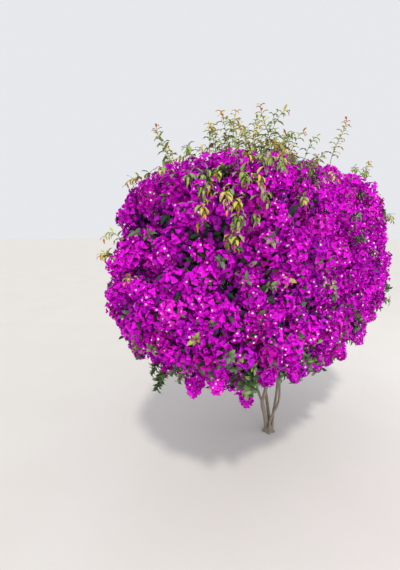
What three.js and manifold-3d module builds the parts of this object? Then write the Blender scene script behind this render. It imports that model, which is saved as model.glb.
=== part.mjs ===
// A bougainvillea bush from a garden row. Five woody stems rise from one swollen
// foot and stay bare to knee height. They fork inside a long, deep crown of
// papery magenta bracts, and leafy canes stand out of its top.
//
// Millimetres. X runs along the row, -Y is the front, +Z is up, and the origin
// is the middle of the flat cut at ground level.

import * as THREE from "three";
import { mergeVertices } from "three/addons/utils/BufferGeometryUtils.js";
import Module from "manifold-3d";

const wasm = await Module();
wasm.setup();

// The crown: a rounded block that hangs over its stems
const CROWN_LENGTH = 2520; // along the row
const CROWN_DEPTH = 1340; // front to back
const CROWN_TOP = 2150; // without the canes
const CROWN_FOOT = 520; // underside above the ground
const CROWN_SHIFT = -60; // its middle, along the row from the foot
const CROWN_SQUARENESS = 2.7; // 2 would be an ellipsoid, more is boxier
const CROWN_SWELL = 0.05; // its surface dips by up to twice this share

// Where things lie between the crown's middle, 0, and its surface, 1
const HEART = 0.38; // inside this there are only limbs
const BOUGH_END = 0.4; // where a bough enters its mass
const CORE_HEART = 0.47; // the cores' inner faces
const SHELL = 0.68; // the middles of the masses

// The masses of blossom
const MASSES = 16;
const MASS_REACH = 690; // furthest from its middle that a mass grows
const MASS_REACH_SPREAD = 110; // how much less the smallest one reaches
const CORE_COVER = 84; // from the dense core out to the mass's surface
const CORE_GAP = 8; // from a core to the next mass's space
const CORE_LUMPS = 0.07; // how much the core's surface dips
const CORE_STEP = 8; // how finely its edges are looked for
const HEAD_SPACING = 158; // between twigs that carry a head of blossom
const HEAD_SINK = 60; // how far below the crown's surface the deepest one starts
const HEAD_TILT = 0.45; // how far they lean off straight outwards
const DARTS = 6000; // places tried for them
const TWIG_RADIUS = 4;
const HEAD = 98; // from a head's middle to its bract tips
const LEAF_LENGTH = 125;
const LEAF_WIDTH = 62;
const LEAF_THICK = 6;

// The woody parts
const STEMS = 5;
const ROOT_RADIUS = 30; // swollen foot, above its flare
const ROOT_FLARE = 17; // what the flare adds at the ground
const ROOT_HEIGHT = 52;
const FORK_HEIGHT = 110; // where the stems part from the foot
const STEM_CIRCLE = 26; // their spread at the ground
const STEM_LEAN = 150; // they set out for a ring this wide
const STEM_STRAIGHT = 650; // at this height
const STEM_RADIUS = 15.5; // the thickest one, at its foot
const STEM_THINNER = 1.5; // each next one has that much less
const STEM_BOW = 34; // how far a stem wanders off its line
const STEM_KINKS = 0.3; // its short bends, as a share of the long ones
const STEM_STEPS = 20; // straight pieces along one
const STEM_TURN = 0.171; // the bearing that the first stem leans to, in turns from +X
const STEM_TWIST = 0.16; // how many turns further back each one is rooted
const BOUGH_RADIUS = 9.5;
const TIP_RADIUS = 5.5; // every limb's tip
const BOUGH_BOW = 8;

// The leafy canes above the crown
const CANES = 5;
const CANE_RADIUS = 6;
const CANE_TIP = 3;
const CANE_LEAVES = 9;
const CANE_LEAVES_FROM = 0.93; // outness where a cane's bare part ends
const CANE_SPACING = 330;
const CANE_RISE = 330; // the tallest cane above the crown's surface

const GAP = 0.35; // between solids that meet
const LIMB_ROOM = 24; // from foliage to a limb
const SHOOT_ROOM = 70; // from a shoot's middle line, for its own leaves
const CLEAR = 4; // from foliage to the edge of its space
const GOLDEN_ANGLE = Math.PI * (3 - Math.sqrt(5));

const HALF = new THREE.Vector3(CROWN_LENGTH / 2, CROWN_DEPTH / 2, (CROWN_TOP - CROWN_FOOT) / 2);
const MIDDLE = new THREE.Vector3(CROWN_SHIFT, 0, (CROWN_TOP + CROWN_FOOT) / 2);
const UP = new THREE.Vector3(0, 0, 1);

const bark = new THREE.MeshStandardMaterial({ color: 0x8f7d6b, roughness: 0.9, metalness: 0 });
const blossom = new THREE.MeshStandardMaterial({ color: 0xc814be, roughness: 0.7, metalness: 0 });
const leaf = new THREE.MeshStandardMaterial({ color: 0x6f9434, roughness: 0.6, metalness: 0 });

// Small helpers

// Numbers from 0 to 1, always the same ones for a seed (Park and Miller's rule).
function dice(seed) {
  let state = seed;
  return () => {
    state = (state * 16807) % 2147483647;
    return state / 2147483647;
  };
}

const mix = (a, b, share) => a + (b - a) * share;
const moved = (point, along, distance) => point.clone().addScaledVector(along, distance);
const towards = (from, to) => to.clone().sub(from).normalize();

// Two directions square to one another and to `along`.
function squareTo(along, guide = UP) {
  const other = Math.abs(along.dot(guide)) > 0.95 ? new THREE.Vector3(1, 0, 0) : guide;
  const across = new THREE.Vector3().crossVectors(along, other).normalize();
  return [across, new THREE.Vector3().crossVectors(along, across)];
}

// The direction round `along` at an angle from its first square direction.
function radial(along, angle) {
  const [across, beside] = squareTo(along);
  return across.multiplyScalar(Math.cos(angle)).addScaledVector(beside, Math.sin(angle));
}

// A direction from two numbers from 0 to 1, evenly over a ball.
function ballDirection(rise, turn) {
  const height = 2 * rise - 1;
  const flat = Math.sqrt(1 - height * height);
  const angle = 2 * Math.PI * turn;
  return new THREE.Vector3(flat * Math.cos(angle), flat * Math.sin(angle), height);
}

// A closed solid from a geometry, turned the right way out.
function solidOf(geometry) {
  geometry.deleteAttribute("normal");
  geometry.deleteAttribute("uv");
  const merged = mergeVertices(geometry, 1e-3);
  const make = (triVerts) =>
    new wasm.Manifold(
      new wasm.Mesh({ numProp: 3, vertProperties: merged.attributes.position.array, triVerts }),
    );
  const faces = new Uint32Array(merged.index.array);
  const made = make(faces);
  return made.volume() > 0 ? made : make(faces.reverse());
}

// A closed solid from its corners and the three corners of each face.
function solid(points, faces) {
  const geometry = new THREE.BufferGeometry().setFromPoints(points);
  geometry.setIndex(faces.flat());
  return solidOf(geometry);
}

// The largest piece of a solid, without loose scraps or sealed hollows.
function whole(made) {
  const pieces = made.decompose();
  return pieces.reduce((best, piece) => (piece.volume() > best.volume() ? piece : best));
}

// A named part of the plant, placed by the point that it grows from.
function mesh(name, made, material, anchor) {
  const { vertProperties, triVerts } = made.getMesh();
  const geometry = new THREE.BufferGeometry();
  geometry.setAttribute("position", new THREE.BufferAttribute(vertProperties, 3));
  geometry.setIndex(new THREE.BufferAttribute(triVerts, 1));
  geometry.translate(-anchor.x, -anchor.y, -anchor.z);
  geometry.computeVertexNormals();
  const part = new THREE.Mesh(geometry, material);
  part.name = name;
  part.position.copy(anchor);
  return part;
}

// The crown's shape

// How far out a point is: 0 in the crown's middle, 1 on its surface, which is a
// block with rounded sides that swells and dips a little.
function outness(point) {
  const q = point.clone().sub(MIDDLE).divide(HALF);
  const power = CROWN_SQUARENESS;
  const sum = Math.abs(q.x) ** power + Math.abs(q.y) ** power + Math.abs(q.z) ** power;
  const block = sum ** (1 / power);
  const way = q.normalize();
  const swell = Math.sin(6 * way.x + 1.1) * Math.cos(4 * way.y - 0.5) + Math.sin(7 * way.z + 4 * way.x);
  return block / (1 + CROWN_SWELL * (0.5 * swell - 1));
}

// The point on the same ray from the crown's middle that is `out` of the way to its surface.
function atOutness(point, out) {
  return moved(MIDDLE, point.clone().sub(MIDDLE), out / outness(point));
}

// How far a point lies under the crown's surface, towards the crown's middle.
function depth(point) {
  const from = point.distanceTo(MIDDLE);
  return from / outness(point) - from;
}

// The way straight out of the crown at a point.
function outwards(point) {
  const small = 4;
  const slope = (way) => outness(moved(point, way, small)) - outness(moved(point, way, -small));
  const x = slope(new THREE.Vector3(1, 0, 0));
  const y = slope(new THREE.Vector3(0, 1, 0));
  return new THREE.Vector3(x, y, slope(UP)).normalize();
}

// Three points under the crown. They push the masses away and own the space
// that the stems rise through.
const openings = [-1, 0, 1].map(
  (side) => new THREE.Vector3(MIDDLE.x + side * 0.3 * HALF.x, 0, CROWN_FOOT + 60),
);

// The masses' middles: a golden-angle spiral over the crown, whose points then
// push one another apart until they are evenly spaced on the shell.
function spreadMasses() {
  const rounds = 80;
  const push = 9; // what a neighbour at the usual distance pushes in one round
  const usual = 560;
  const places = [];
  for (let k = 0; k < MASSES; k++) {
    const rise = 1 - (k + 0.5) / (MASSES * 1.2); // the lowest sixth is left open
    const around = ballDirection(rise, (k * GOLDEN_ANGLE) / (2 * Math.PI)).multiply(HALF);
    places.push(atOutness(around.add(MIDDLE), SHELL));
  }
  for (let round = 0; round < rounds; round++) {
    const pushes = places.map((place) => {
      const total = new THREE.Vector3();
      for (const other of [...places, ...openings]) {
        const away = place.clone().sub(other);
        const distance = away.length();
        if (distance > 0) total.addScaledVector(away, (push * usual ** 2) / distance ** 3);
      }
      return total;
    });
    places.forEach((place, i) => place.copy(atOutness(place.add(pushes[i]), SHELL)));
  }
  return places.sort((a, b) => a.z - b.z);
}

const middles = spreadMasses();
const reachRoll = dice(71);
const reaches = middles.map(() => MASS_REACH - MASS_REACH_SPREAD * reachRoll());

// Whether a point lies in a mass's own space: in the crown's shell, within its
// reach, and nearer to its middle than to any other's.
function inSpace(index, point, cover = CLEAR, gap = CLEAR, heart = HEART) {
  const middle = middles[index];
  const own = point.distanceTo(middle);
  if (own > reaches[index] - cover) return false;
  if (outness(point) < heart || depth(point) < cover) return false;
  return [...middles, ...openings].every((other) => {
    if (other === middle) return true;
    const beyond = point.distanceTo(other) ** 2 - own ** 2;
    return beyond / (2 * other.distanceTo(middle)) > gap;
  });
}

// Limbs

// A limb is a curve that leaves a towards b, reaches d from c, wanders a little
// on the way, and tapers. Old stems have shorter kinks on top of that.
class Limb {
  constructor(a, b, c, d, thick, thin, bow, bearing, kinks = 0) {
    this.curve = new THREE.CubicBezierCurve3(a, b, c, d);
    this.thick = thick;
    this.thin = thin;
    this.bow = bow;
    this.bearing = bearing;
    this.kinks = kinks;
    this.side = radial(towards(a, d), bearing);
    this.other = radial(towards(a, d), bearing + Math.PI / 2);
  }

  point(t) {
    const hold = Math.sin(Math.PI * t ** 0.6) ** 2; // it starts and ends on its line
    const place = this.curve.getPoint(t);
    const kinks = this.kinks;
    const aside = Math.sin(11 * t + this.bearing) + kinks * Math.sin(31 * t + 2 * this.bearing);
    const across = Math.cos(17 * t) + kinks * Math.cos(37 * t + this.bearing);
    place.addScaledVector(this.side, this.bow * hold * aside);
    return place.addScaledVector(this.other, this.bow * hold * across);
  }

  tangent(t) {
    const small = 1e-3;
    return towards(this.point(Math.max(0, t - small)), this.point(Math.min(1, t + small)));
  }

  radius(t) {
    return mix(this.thick, this.thin, t ** 0.8);
  }

  // The place on the limb where it first reaches a height.
  atHeight(height) {
    let t = 0;
    while (this.point(t).z < height) t += 5e-4;
    return t;
  }

  samples(from = 0, to = 1, count = 24) {
    return Array.from({ length: count + 1 }, (_, i) => {
      const t = mix(from, to, i / count);
      return { place: this.point(t), radius: this.radius(t) };
    });
  }
}

// A closed solid through rings of corners, with flat ends.
function loft(rings) {
  const sides = rings[0].length;
  const faces = [];
  for (let r = 0; r + 1 < rings.length; r++) {
    for (let s = 0; s < sides; s++) {
      const a = r * sides + s;
      const b = r * sides + ((s + 1) % sides);
      faces.push([a, b, b + sides], [a, b + sides, a + sides]);
    }
  }
  const last = (rings.length - 1) * sides;
  for (let s = 1; s + 1 < sides; s++) {
    faces.push([0, s + 1, s], [last, last + s, last + s + 1]);
  }
  return solid(rings.flat(), faces);
}

// A tube along part of a limb. Each ring carries on the last one's first
// corner, so the tube doesn't twist. `grow` makes it that much thicker.
function tube(limb, from, to, steps, sides, grow = 0) {
  const rings = [];
  let corner = null;
  for (let i = 0; i <= steps; i++) {
    const t = mix(from, to, i / steps);
    const along = limb.tangent(t);
    corner = corner ? corner.projectOnPlane(along).normalize() : squareTo(along)[0];
    const beside = new THREE.Vector3().crossVectors(along, corner);
    const centre = limb.point(t);
    const radius = limb.radius(t) + grow;
    rings.push(
      Array.from({ length: sides }, (_, s) => {
        const angle = (2 * Math.PI * s) / sides;
        return moved(moved(centre, corner, radius * Math.cos(angle)), beside, radius * Math.sin(angle));
      }),
    );
  }
  return loft(rings);
}

// Whether two limbs stay clear of one another, leaving out the first part of
// the new one, which starts inside its parent.
function limbsClear(made, others, parent) {
  const space = 5;
  const joined = 0.3;
  return others.every((other) => {
    const path = made.samples(other === parent ? joined : 0.02);
    const rest = other.samples();
    return path.every((p) =>
      rest.every((q) => p.place.distanceTo(q.place) > p.radius + q.radius + space),
    );
  });
}

// The woody frame

const footOf = (index) => atOutness(middles[index], BOUGH_END);

// The stems stand in a ring, turn round one another as they spread, and each
// runs on to one of the highest masses.
function growStems() {
  const owned = middles.map((_, i) => i).slice(-STEMS);
  const bearings = Array.from({ length: STEMS }, (_, k) => 2 * Math.PI * (STEM_TURN + k / STEMS));
  const byX = (values, x) => values.sort((a, b) => x(a) - x(b));
  byX(owned, (i) => middles[i].x);
  byX(bearings, (angle) => Math.cos(angle));
  return bearings.map((bearing, k) => {
    const aside = new THREE.Vector3(Math.cos(bearing), Math.sin(bearing), 0);
    const start = aside.clone().applyAxisAngle(UP, -2 * Math.PI * STEM_TWIST).multiplyScalar(STEM_CIRCLE);
    const end = footOf(owned[k]);
    const lean = moved(aside.clone().multiplyScalar(STEM_LEAN), UP, STEM_STRAIGHT);
    const arrive = moved(end, towards(end, middles[owned[k]]), -0.25 * start.distanceTo(end));
    const thick = STEM_RADIUS - STEM_THINNER * ((k * 2) % STEMS);
    const limb = new Limb(start, lean, arrive, end, thick, TIP_RADIUS, STEM_BOW, bearing, STEM_KINKS);
    return { limb, mass: owned[k] };
  });
}

// Each other mass gets a bough from the stem that can reach it most easily.
function growBoughs(stems) {
  const limbs = stems.map((stem) => stem.limb);
  const grown = [];
  const load = new Map();
  const rest = middles.map((_, i) => i).slice(0, -STEMS);
  for (const index of rest) {
    const end = footOf(index);
    const choices = [];
    for (const { limb: parent } of stems) {
      for (let t = 0.3; t < 0.86; t += 0.04) {
        const start = parent.point(t);
        const way = start.distanceTo(end);
        const rise = (end.z - start.z) / way;
        const cost = way + 500 * Math.max(0, 0.45 - rise) + 70 * (load.get(parent) ?? 0);
        choices.push({ parent, t, start, way, cost });
      }
    }
    choices.sort((a, b) => a.cost - b.cost);
    const made = choices.map((choice) => boughFrom(choice, end, index));
    const found = made.find((bough) => limbsClear(bough.limb, limbs, bough.parent));
    if (!found) throw new Error("no clear way to mass " + index);
    load.set(found.parent, (load.get(found.parent) ?? 0) + 1);
    limbs.push(found.limb);
    grown.push(found);
  }
  return grown;
}

function boughFrom({ parent, t, start, way }, end, index) {
  const leave = moved(start, parent.tangent(t), 0.35 * way);
  const arrive = moved(end, towards(end, middles[index]), -0.3 * way);
  const thick = Math.min(BOUGH_RADIUS, 0.75 * parent.radius(t));
  const limb = new Limb(start, leave, arrive, end, thick, TIP_RADIUS, BOUGH_BOW, index);
  return { limb, parent, mass: index };
}

// Canes grow up from the stems and leave the crown through the gaps between
// its top masses. The widest gap that can be reached is taken.
function growCanes(stems, limbs) {
  const grown = [];
  for (let k = 0; k < CANES; k++) {
    const wanted = MIDDLE.x + mix(-0.72, 0.72, k / (CANES - 1)) * HALF.x;
    const choices = [];
    for (const { limb: parent } of stems) {
      for (let from = 0.45; from < 0.85; from += 0.08) {
        const start = parent.point(from);
        for (let along = -3; along <= 3; along++) {
          for (let deep = -5; deep <= 5; deep++) {
            const aim = new THREE.Vector3(wanted + along * 60, deep * 60, CROWN_TOP);
            choices.push(caneTo(aim, parent, start, from, k));
          }
        }
      }
    }
    choices.sort((a, b) => b.worth - a.worth);
    const apart = ({ limb }) =>
      grown.every((other) => other.limb.point(1).distanceTo(limb.point(1)) > CANE_SPACING);
    const found = choices.find((cane) => apart(cane) && limbsClear(cane.limb, limbs, cane.parent));
    if (!found) throw new Error("no clear way for cane " + k);
    limbs.push(found.limb);
    grown.push(found);
  }
  return grown;
}

function caneTo(aim, parent, start, from, k) {
  const end = atOutness(aim, CANE_LEAVES_FROM);
  const way = start.distanceTo(end);
  const leave = moved(start, parent.tangent(from).add(towards(start, end)).normalize(), 0.3 * way);
  const arrive = moved(end, UP, -0.3 * way);
  const limb = new Limb(start, leave, arrive, end, CANE_RADIUS, CANE_TIP, BOUGH_BOW, k);
  const room = ({ place }) => Math.min(...middles.map((middle) => middle.distanceTo(place)));
  const narrow = Math.min(...limb.samples(0.4).map(room));
  return { limb, parent, worth: narrow - 0.15 * way };
}

// The middle line of a cane's leafy part: it goes on from the bare part and
// leans over.
function shootFrom({ limb: cane }, k) {
  const roll = dice(5003 + k);
  const along = cane.tangent(1);
  const start = moved(cane.point(1), along, GAP);
  const height = CANE_RISE * mix(0.6, 1, roll()) + 90;
  const lean = radial(UP, 2 * Math.PI * roll());
  const leave = moved(start, along, 0.5 * height);
  const end = moved(moved(start, UP, height), lean, 0.35 * height);
  return new Limb(start, leave, moved(end, UP, -0.3 * height), end, CANE_TIP, 2, 0, 0);
}

const stems = growStems();
const boughs = growBoughs(stems);
const wood = [...stems, ...boughs].map(({ limb }) => limb);
const canes = growCanes(stems, wood);
const shoots = canes.map(shootFrom);

// The swollen foot: a flared stump with a ridge below each stem, and the stems'
// first few centimetres, which it forks into.
function trunk() {
  const sides = 20;
  const fade = 22; // the height over which the flare dies away
  const levels = [0, 0.15, 0.36, 0.65, 1].map((share) => share * ROOT_HEIGHT);
  const rings = levels.map((height) => {
    const flare = ROOT_FLARE * Math.exp(-height / fade);
    const round = height === ROOT_HEIGHT ? 0.6 : 1; // its top is drawn in
    return Array.from({ length: sides }, (_, s) => {
      const angle = (2 * Math.PI * s) / sides;
      const ridge = Math.cos(STEMS * (angle - 2 * Math.PI * (STEM_TURN - STEM_TWIST)));
      const radius = (ROOT_RADIUS + flare) * round + (2 + 0.25 * flare) * ridge;
      return new THREE.Vector3(radius * Math.cos(angle), radius * Math.sin(angle), height);
    });
  });
  let made = loft(rings);
  for (const { limb } of stems) {
    const up = limb.atHeight(12);
    made = made.add(tube(limb, up, limb.atHeight(FORK_HEIGHT), 3, 10));
  }
  return whole(made);
}

// A stem starts just clear of the foot's stub, on the same section.
function stemSolid(limb, grow = 0) {
  const start = limb.atHeight(FORK_HEIGHT);
  const share = GAP / limb.curve.getLength();
  return tube(limb, start + share, 1, STEM_STEPS, 7, grow);
}

// A bough or cane, cut clear of the stem that it grows from.
function branchSolid({ limb, parent }) {
  return whole(tube(limb, 0, 1, 6, 5).subtract(stemSolid(parent, GAP)));
}

// Foliage

// A leaf of eight faces: widest near its root and raised along its rib. Its
// root is the middle of the twig that it grows from.
function blade(root, along, face, length, width) {
  const side = new THREE.Vector3().crossVectors(along, face).normalize();
  const up = new THREE.Vector3().crossVectors(side, along);
  const rib = moved(root, along, 0.4 * length);
  const points = [
    root,
    moved(moved(root, along, length), up, -0.14 * length),
    moved(moved(rib, side, width / 2), up, -0.06 * length),
    moved(moved(rib, side, -width / 2), up, -0.06 * length),
    moved(rib, up, LEAF_THICK),
    moved(rib, up, -LEAF_THICK),
  ];
  const faces = [
    [0, 2, 4], [2, 1, 4], [1, 3, 4], [3, 0, 4],
    [2, 0, 5], [1, 2, 5], [3, 1, 5], [0, 3, 5],
  ];
  return { points, make: () => solid(points, faces) };
}

// A head of blossom: three broad pointed bracts in a cup round a twig's tip.
function head(root, along, turn, size) {
  const points = [moved(root, along, -14), moved(root, along, 0.24 * size)];
  const faces = [];
  for (let k = 0; k < 3; k++) {
    const tip = radial(along, turn + (k * 2 * Math.PI) / 3);
    const notch = radial(along, turn + ((k + 0.5) * 2 * Math.PI) / 3);
    points.push(moved(moved(root, tip, size), along, 0.34 * size));
    points.push(moved(moved(root, notch, 0.5 * size), along, 0.4 * size));
    const [here, next, last] = [2 + 2 * k, 3 + 2 * k, 3 + 2 * ((k + 2) % 3)];
    faces.push([1, last, here], [1, here, next], [0, here, last], [0, next, here]);
  }
  return { points, make: () => solid(points, faces) };
}

// Every limb and leafy shoot, as points with a radius.
const woodPoints = [...wood, ...canes.map(({ limb }) => limb)].flatMap((limb) => limb.samples(0, 1, 60));
const shootPoints = shoots.flatMap((limb) => limb.samples(0.1, 1, 30));
const limbPoints = [...woodPoints, ...shootPoints.map(({ place }) => ({ place, radius: SHOOT_ROOM }))];

// Whether all of a leaf's or head's corners are in the mass's space and clear
// of every limb. The first corner is its root, on the twig.
function fits(index, piece) {
  return piece.points.slice(1).every(
    (corner) =>
      inSpace(index, corner) &&
      limbPoints.every(({ place, radius }) => place.distanceTo(corner) > radius + LIMB_ROOM),
  );
}

// The dense part of a mass: a ball drawn out towards the edges of the mass's
// space, up to the first limb on the way.
function core(index, roll) {
  const ball = new THREE.IcosahedronGeometry(1, 2);
  ball.deleteAttribute("normal");
  ball.deleteAttribute("uv");
  const round = mergeVertices(ball, 1e-3);
  const corners = round.getAttribute("position");
  const middle = middles[index];
  const near = limbPoints.filter(({ place }) => place.distanceTo(middle) < MASS_REACH);
  const free = (point) =>
    inSpace(index, point, CORE_COVER, CORE_GAP, CORE_HEART) &&
    near.every(({ place, radius }) => place.distanceTo(point) > radius + LIMB_ROOM);
  for (let i = 0; i < corners.count; i++) {
    const direction = new THREE.Vector3().fromBufferAttribute(corners, i).normalize();
    let reach = 0;
    while (free(moved(middle, direction, reach + CORE_STEP))) reach += CORE_STEP;
    const place = moved(middle, direction, reach * (1 - CORE_LUMPS * roll()));
    corners.setXYZ(i, place.x, place.y, place.z);
  }
  return solidOf(round);
}

// Where heads of blossom stand: scattered over the crown's surface, no two
// nearer than their spacing, each with the mass whose space it is in.
function scatterHeads() {
  const roll = dice(29);
  const spots = [];
  for (let dart = 0; dart < DARTS; dart++) {
    const around = ballDirection(roll(), roll()).multiply(HALF);
    const place = atOutness(around.add(MIDDLE), 1);
    if (spots.some((spot) => spot.place.distanceTo(place) < HEAD_SPACING)) continue;
    const distances = [...middles, ...openings].map((middle) => middle.distanceTo(place));
    const owner = distances.indexOf(Math.min(...distances));
    const lean = ballDirection(roll(), roll()).multiplyScalar(HEAD_TILT);
    const facing = outwards(place).add(lean).normalize();
    const [turn, size, sink] = [2 * Math.PI * roll(), mix(0.85, 1.1, roll()), 10 + HEAD_SINK * roll()];
    spots.push({ place, owner, facing, turn, size, sink });
  }
  return spots;
}

// One twig from inside the core to its head of blossom, which faces out of the
// crown. The head slides inwards until it fits.
function sprig(index, spot, leafy) {
  const middle = middles[index];
  const { facing } = spot;
  let top = null;
  for (let down = spot.sink; down < spot.sink + 260 && !top; down += 10) {
    const root = moved(spot.place, facing, -down);
    const blossomHead = head(root, facing, spot.turn, HEAD * spot.size);
    if (fits(index, blossomHead)) top = { root, blossomHead };
  }
  if (!top) return [];
  const start = middle.clone().lerp(top.root, 0.5);
  const twig = new Limb(start, start, top.root, top.root, TWIG_RADIUS * 1.4, TWIG_RADIUS, 0, 0);
  const made = [tube(twig, 0, 1, 1, 3), top.blossomHead.make()];
  if (leafy) {
    const root = top.root.clone().lerp(middle, 0.08);
    const sideways = radial(facing, spot.turn + 2.6).addScaledVector(facing, 0.5).normalize();
    const green = blade(root, sideways, facing, LEAF_LENGTH, LEAF_WIDTH);
    if (fits(index, green)) made.push(green.make());
  }
  return made;
}

// A mass of blossom: its stem, its dense core and the sprigs that stand out.
function massSolid(index) {
  const middle = middles[index];
  const foot = footOf(index);
  const start = moved(foot, towards(foot, middle), GAP);
  const inner = new Limb(start, start, middle, middle, TIP_RADIUS, TIP_RADIUS, 0, 0);
  let made = core(index, dice(1009 * (index + 1))).add(tube(inner, 0, 1, 1, 6));
  const own = heads.filter((spot) => spot.owner === index);
  own.forEach((spot, k) => {
    for (const piece of sprig(index, spot, k % 3 === 0)) made = made.add(piece);
  });
  for (const { limb, mass } of [...stems, ...boughs, ...canes]) {
    if (mass === index) continue; // its own limb ends at its foot
    const room = tube(limb, 0, 1, STEM_STEPS, 5, 6);
    if (made.intersect(room).volume() > 0) made = made.subtract(room);
  }
  return whole(made);
}

const heads = scatterHeads();

// The leafy part of a cane, with alternate leaves that droop.
function shootSolid(limb) {
  let made = tube(limb, 0, 1, 5, 4);
  for (let n = 0; n < CANE_LEAVES; n++) {
    const t = mix(0.2, 0.97, n / (CANE_LEAVES - 1));
    const aside = radial(limb.tangent(t), n * GOLDEN_ANGLE);
    const direction = aside.addScaledVector(limb.tangent(t), 0.5).normalize();
    const size = mix(1, 0.6, t);
    const green = blade(limb.point(t), direction, UP, LEAF_LENGTH * size, LEAF_WIDTH * size * 0.8);
    made = made.add(green.make());
  }
  return whole(made);
}

// The plant

const plant = new THREE.Group();
const origin = new THREE.Vector3();

const frame = new THREE.Group();
frame.add(mesh("root_crown", trunk(), bark, origin));
stems.forEach((stem, k) => frame.add(mesh(`stem_${k + 1}`, stemSolid(stem.limb), bark, origin)));
boughs.forEach((bough, k) => {
  frame.add(mesh(`bough_${k + 1}`, branchSolid(bough), bark, bough.limb.point(0)));
});
canes.forEach((cane, k) => {
  frame.add(mesh(`cane_${k + 1}`, branchSolid(cane), bark, cane.limb.point(0)));
});

const crown = new THREE.Group();
middles.forEach((middle, i) => {
  crown.add(mesh(`blossom_mass_${i + 1}`, massSolid(i), blossom, middle));
});
shoots.forEach((limb, k) => {
  crown.add(mesh(`leafy_shoot_${k + 1}`, shootSolid(limb), leaf, limb.point(0)));
});

plant.add(frame, crown);

export default plant;
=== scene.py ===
# %% [markdown]
# # A bougainvillea bush
# This one is grown as a clipped garden shrub. Five woody stems rise from one
# swollen foot and stay bare to knee height. Above them hangs a long, deep
# crown of papery magenta bracts, with green leaves between them and leafy
# canes above. The solid model gives every limb and the space of every mass of
# blossom. This lesson grows the same plant by the same rule, down to single
# leaves.

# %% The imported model
import math

import bpy
import numpy as np
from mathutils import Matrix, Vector


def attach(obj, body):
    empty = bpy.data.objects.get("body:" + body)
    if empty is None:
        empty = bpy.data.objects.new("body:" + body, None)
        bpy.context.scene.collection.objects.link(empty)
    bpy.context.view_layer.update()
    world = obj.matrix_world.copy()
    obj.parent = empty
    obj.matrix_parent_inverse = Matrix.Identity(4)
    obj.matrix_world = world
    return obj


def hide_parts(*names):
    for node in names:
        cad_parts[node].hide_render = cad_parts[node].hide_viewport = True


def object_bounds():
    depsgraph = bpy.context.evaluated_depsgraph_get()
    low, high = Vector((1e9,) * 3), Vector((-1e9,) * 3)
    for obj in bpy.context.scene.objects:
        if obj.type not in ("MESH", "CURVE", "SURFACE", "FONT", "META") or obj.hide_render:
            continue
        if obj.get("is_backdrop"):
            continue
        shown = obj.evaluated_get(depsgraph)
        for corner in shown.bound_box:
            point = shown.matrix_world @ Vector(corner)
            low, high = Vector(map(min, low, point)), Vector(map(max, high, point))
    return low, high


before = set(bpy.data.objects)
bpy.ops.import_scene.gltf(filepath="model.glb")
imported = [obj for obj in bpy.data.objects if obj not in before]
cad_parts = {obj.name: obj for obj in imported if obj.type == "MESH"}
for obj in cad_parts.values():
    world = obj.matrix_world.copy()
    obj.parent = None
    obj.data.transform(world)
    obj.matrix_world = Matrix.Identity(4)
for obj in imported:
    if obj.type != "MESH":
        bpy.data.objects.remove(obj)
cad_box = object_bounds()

nodes = sorted(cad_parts)
print("nodes", len(nodes), "box", [[round(float(x), 3) for x in corner] for corner in cad_box])

# %% [markdown]
# ## Small tools
# Sizes are millimetres, as a gardener's tape reads them. One function turns
# finished arrays into a mesh in metres. Colours are written as they look on a
# screen and turned to linear light in one place.

# %% Meshes from arrays
UP = np.array([0.0, 0.0, 1.0])
METRES = 0.001


def unit(vectors):
    """Each vector divided by its own length."""
    return vectors / np.linalg.norm(vectors, axis=-1, keepdims=True)


def mix(a, b, share):
    """a where share is 0, b where it is 1, and a straight blend between."""
    return a + (b - a) * share


def into_mesh(name, places, faces, materials, tints=None, smooth=True):
    """An object from corners (n, 3) in millimetres and triangles (m, 3).

    tints gives the number of the material for each triangle.
    """
    mesh = bpy.data.meshes.new(name)
    mesh.vertices.add(len(places))
    mesh.vertices.foreach_set("co", (places * METRES).astype(np.float32).ravel())
    mesh.loops.add(faces.size)
    mesh.loops.foreach_set("vertex_index", faces.astype(np.int32).ravel())
    mesh.polygons.add(len(faces))
    mesh.polygons.foreach_set("loop_start", np.arange(0, faces.size, 3, dtype=np.int32))
    for material in materials:
        mesh.materials.append(material)
    if tints is not None:
        mesh.polygons.foreach_set("material_index", tints.astype(np.int32))
    mesh.polygons.foreach_set("use_smooth", np.full(len(faces), smooth))
    mesh.update(calc_edges=True)
    piece = bpy.data.objects.new(name, mesh)
    bpy.context.scene.collection.objects.link(piece)
    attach(piece, "root")
    print(name, len(faces), "triangles")
    return piece


def repeated(faces, count, corners):
    """The triangles of `count` copies of a shape that has so many corners."""
    starts = np.arange(count)[:, None, None] * corners
    return (faces[None] + starts).reshape(-1, 3)


def joined(parts):
    """Many (corners, triangles) as one pair.

    Each part's triangles are renumbered past the corners of the parts before it.
    """
    starts = np.cumsum([0] + [len(places) for places, _ in parts[:-1]])
    return (
        np.concatenate([places for places, _ in parts]),
        np.concatenate([faces + start for (_, faces), start in zip(parts, starts)]),
    )


# %% Colours and shader nodes
def colour(code):
    """An sRGB hex value as linear red, green, blue and alpha.

    Each channel c becomes c / 12.92 below 0.04045 and ((c + 0.055) / 1.055) ** 2.4 above it.
    """
    srgb = np.array([int(code[i : i + 2], 16) for i in (1, 3, 5)]) / 255
    linear = np.where(srgb <= 0.04045, srgb / 12.92, ((srgb + 0.055) / 1.055) ** 2.4)
    return (*[float(c) for c in linear], 1.0)


def per_metre(size):
    """A noise texture's scale: how many of its blobs, of a size in millimetres, lie in a metre."""
    return 1 / (size * METRES)


def feed(tree, node, inputs):
    """Gives each named socket of a node its value, or the socket that feeds it."""
    for key, value in inputs.items():
        if isinstance(value, bpy.types.NodeSocket):
            tree.links.new(value, node.inputs[key])
        else:
            node.inputs[key].default_value = value


def add_node(tree, kind, settings=None, inputs=None):
    """One shader node: settings are its own properties, and inputs are fed to its sockets."""
    node = tree.nodes.new(kind)
    for key, value in (settings or {}).items():
        setattr(node, key, value)
    feed(tree, node, inputs or {})
    return node


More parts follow.
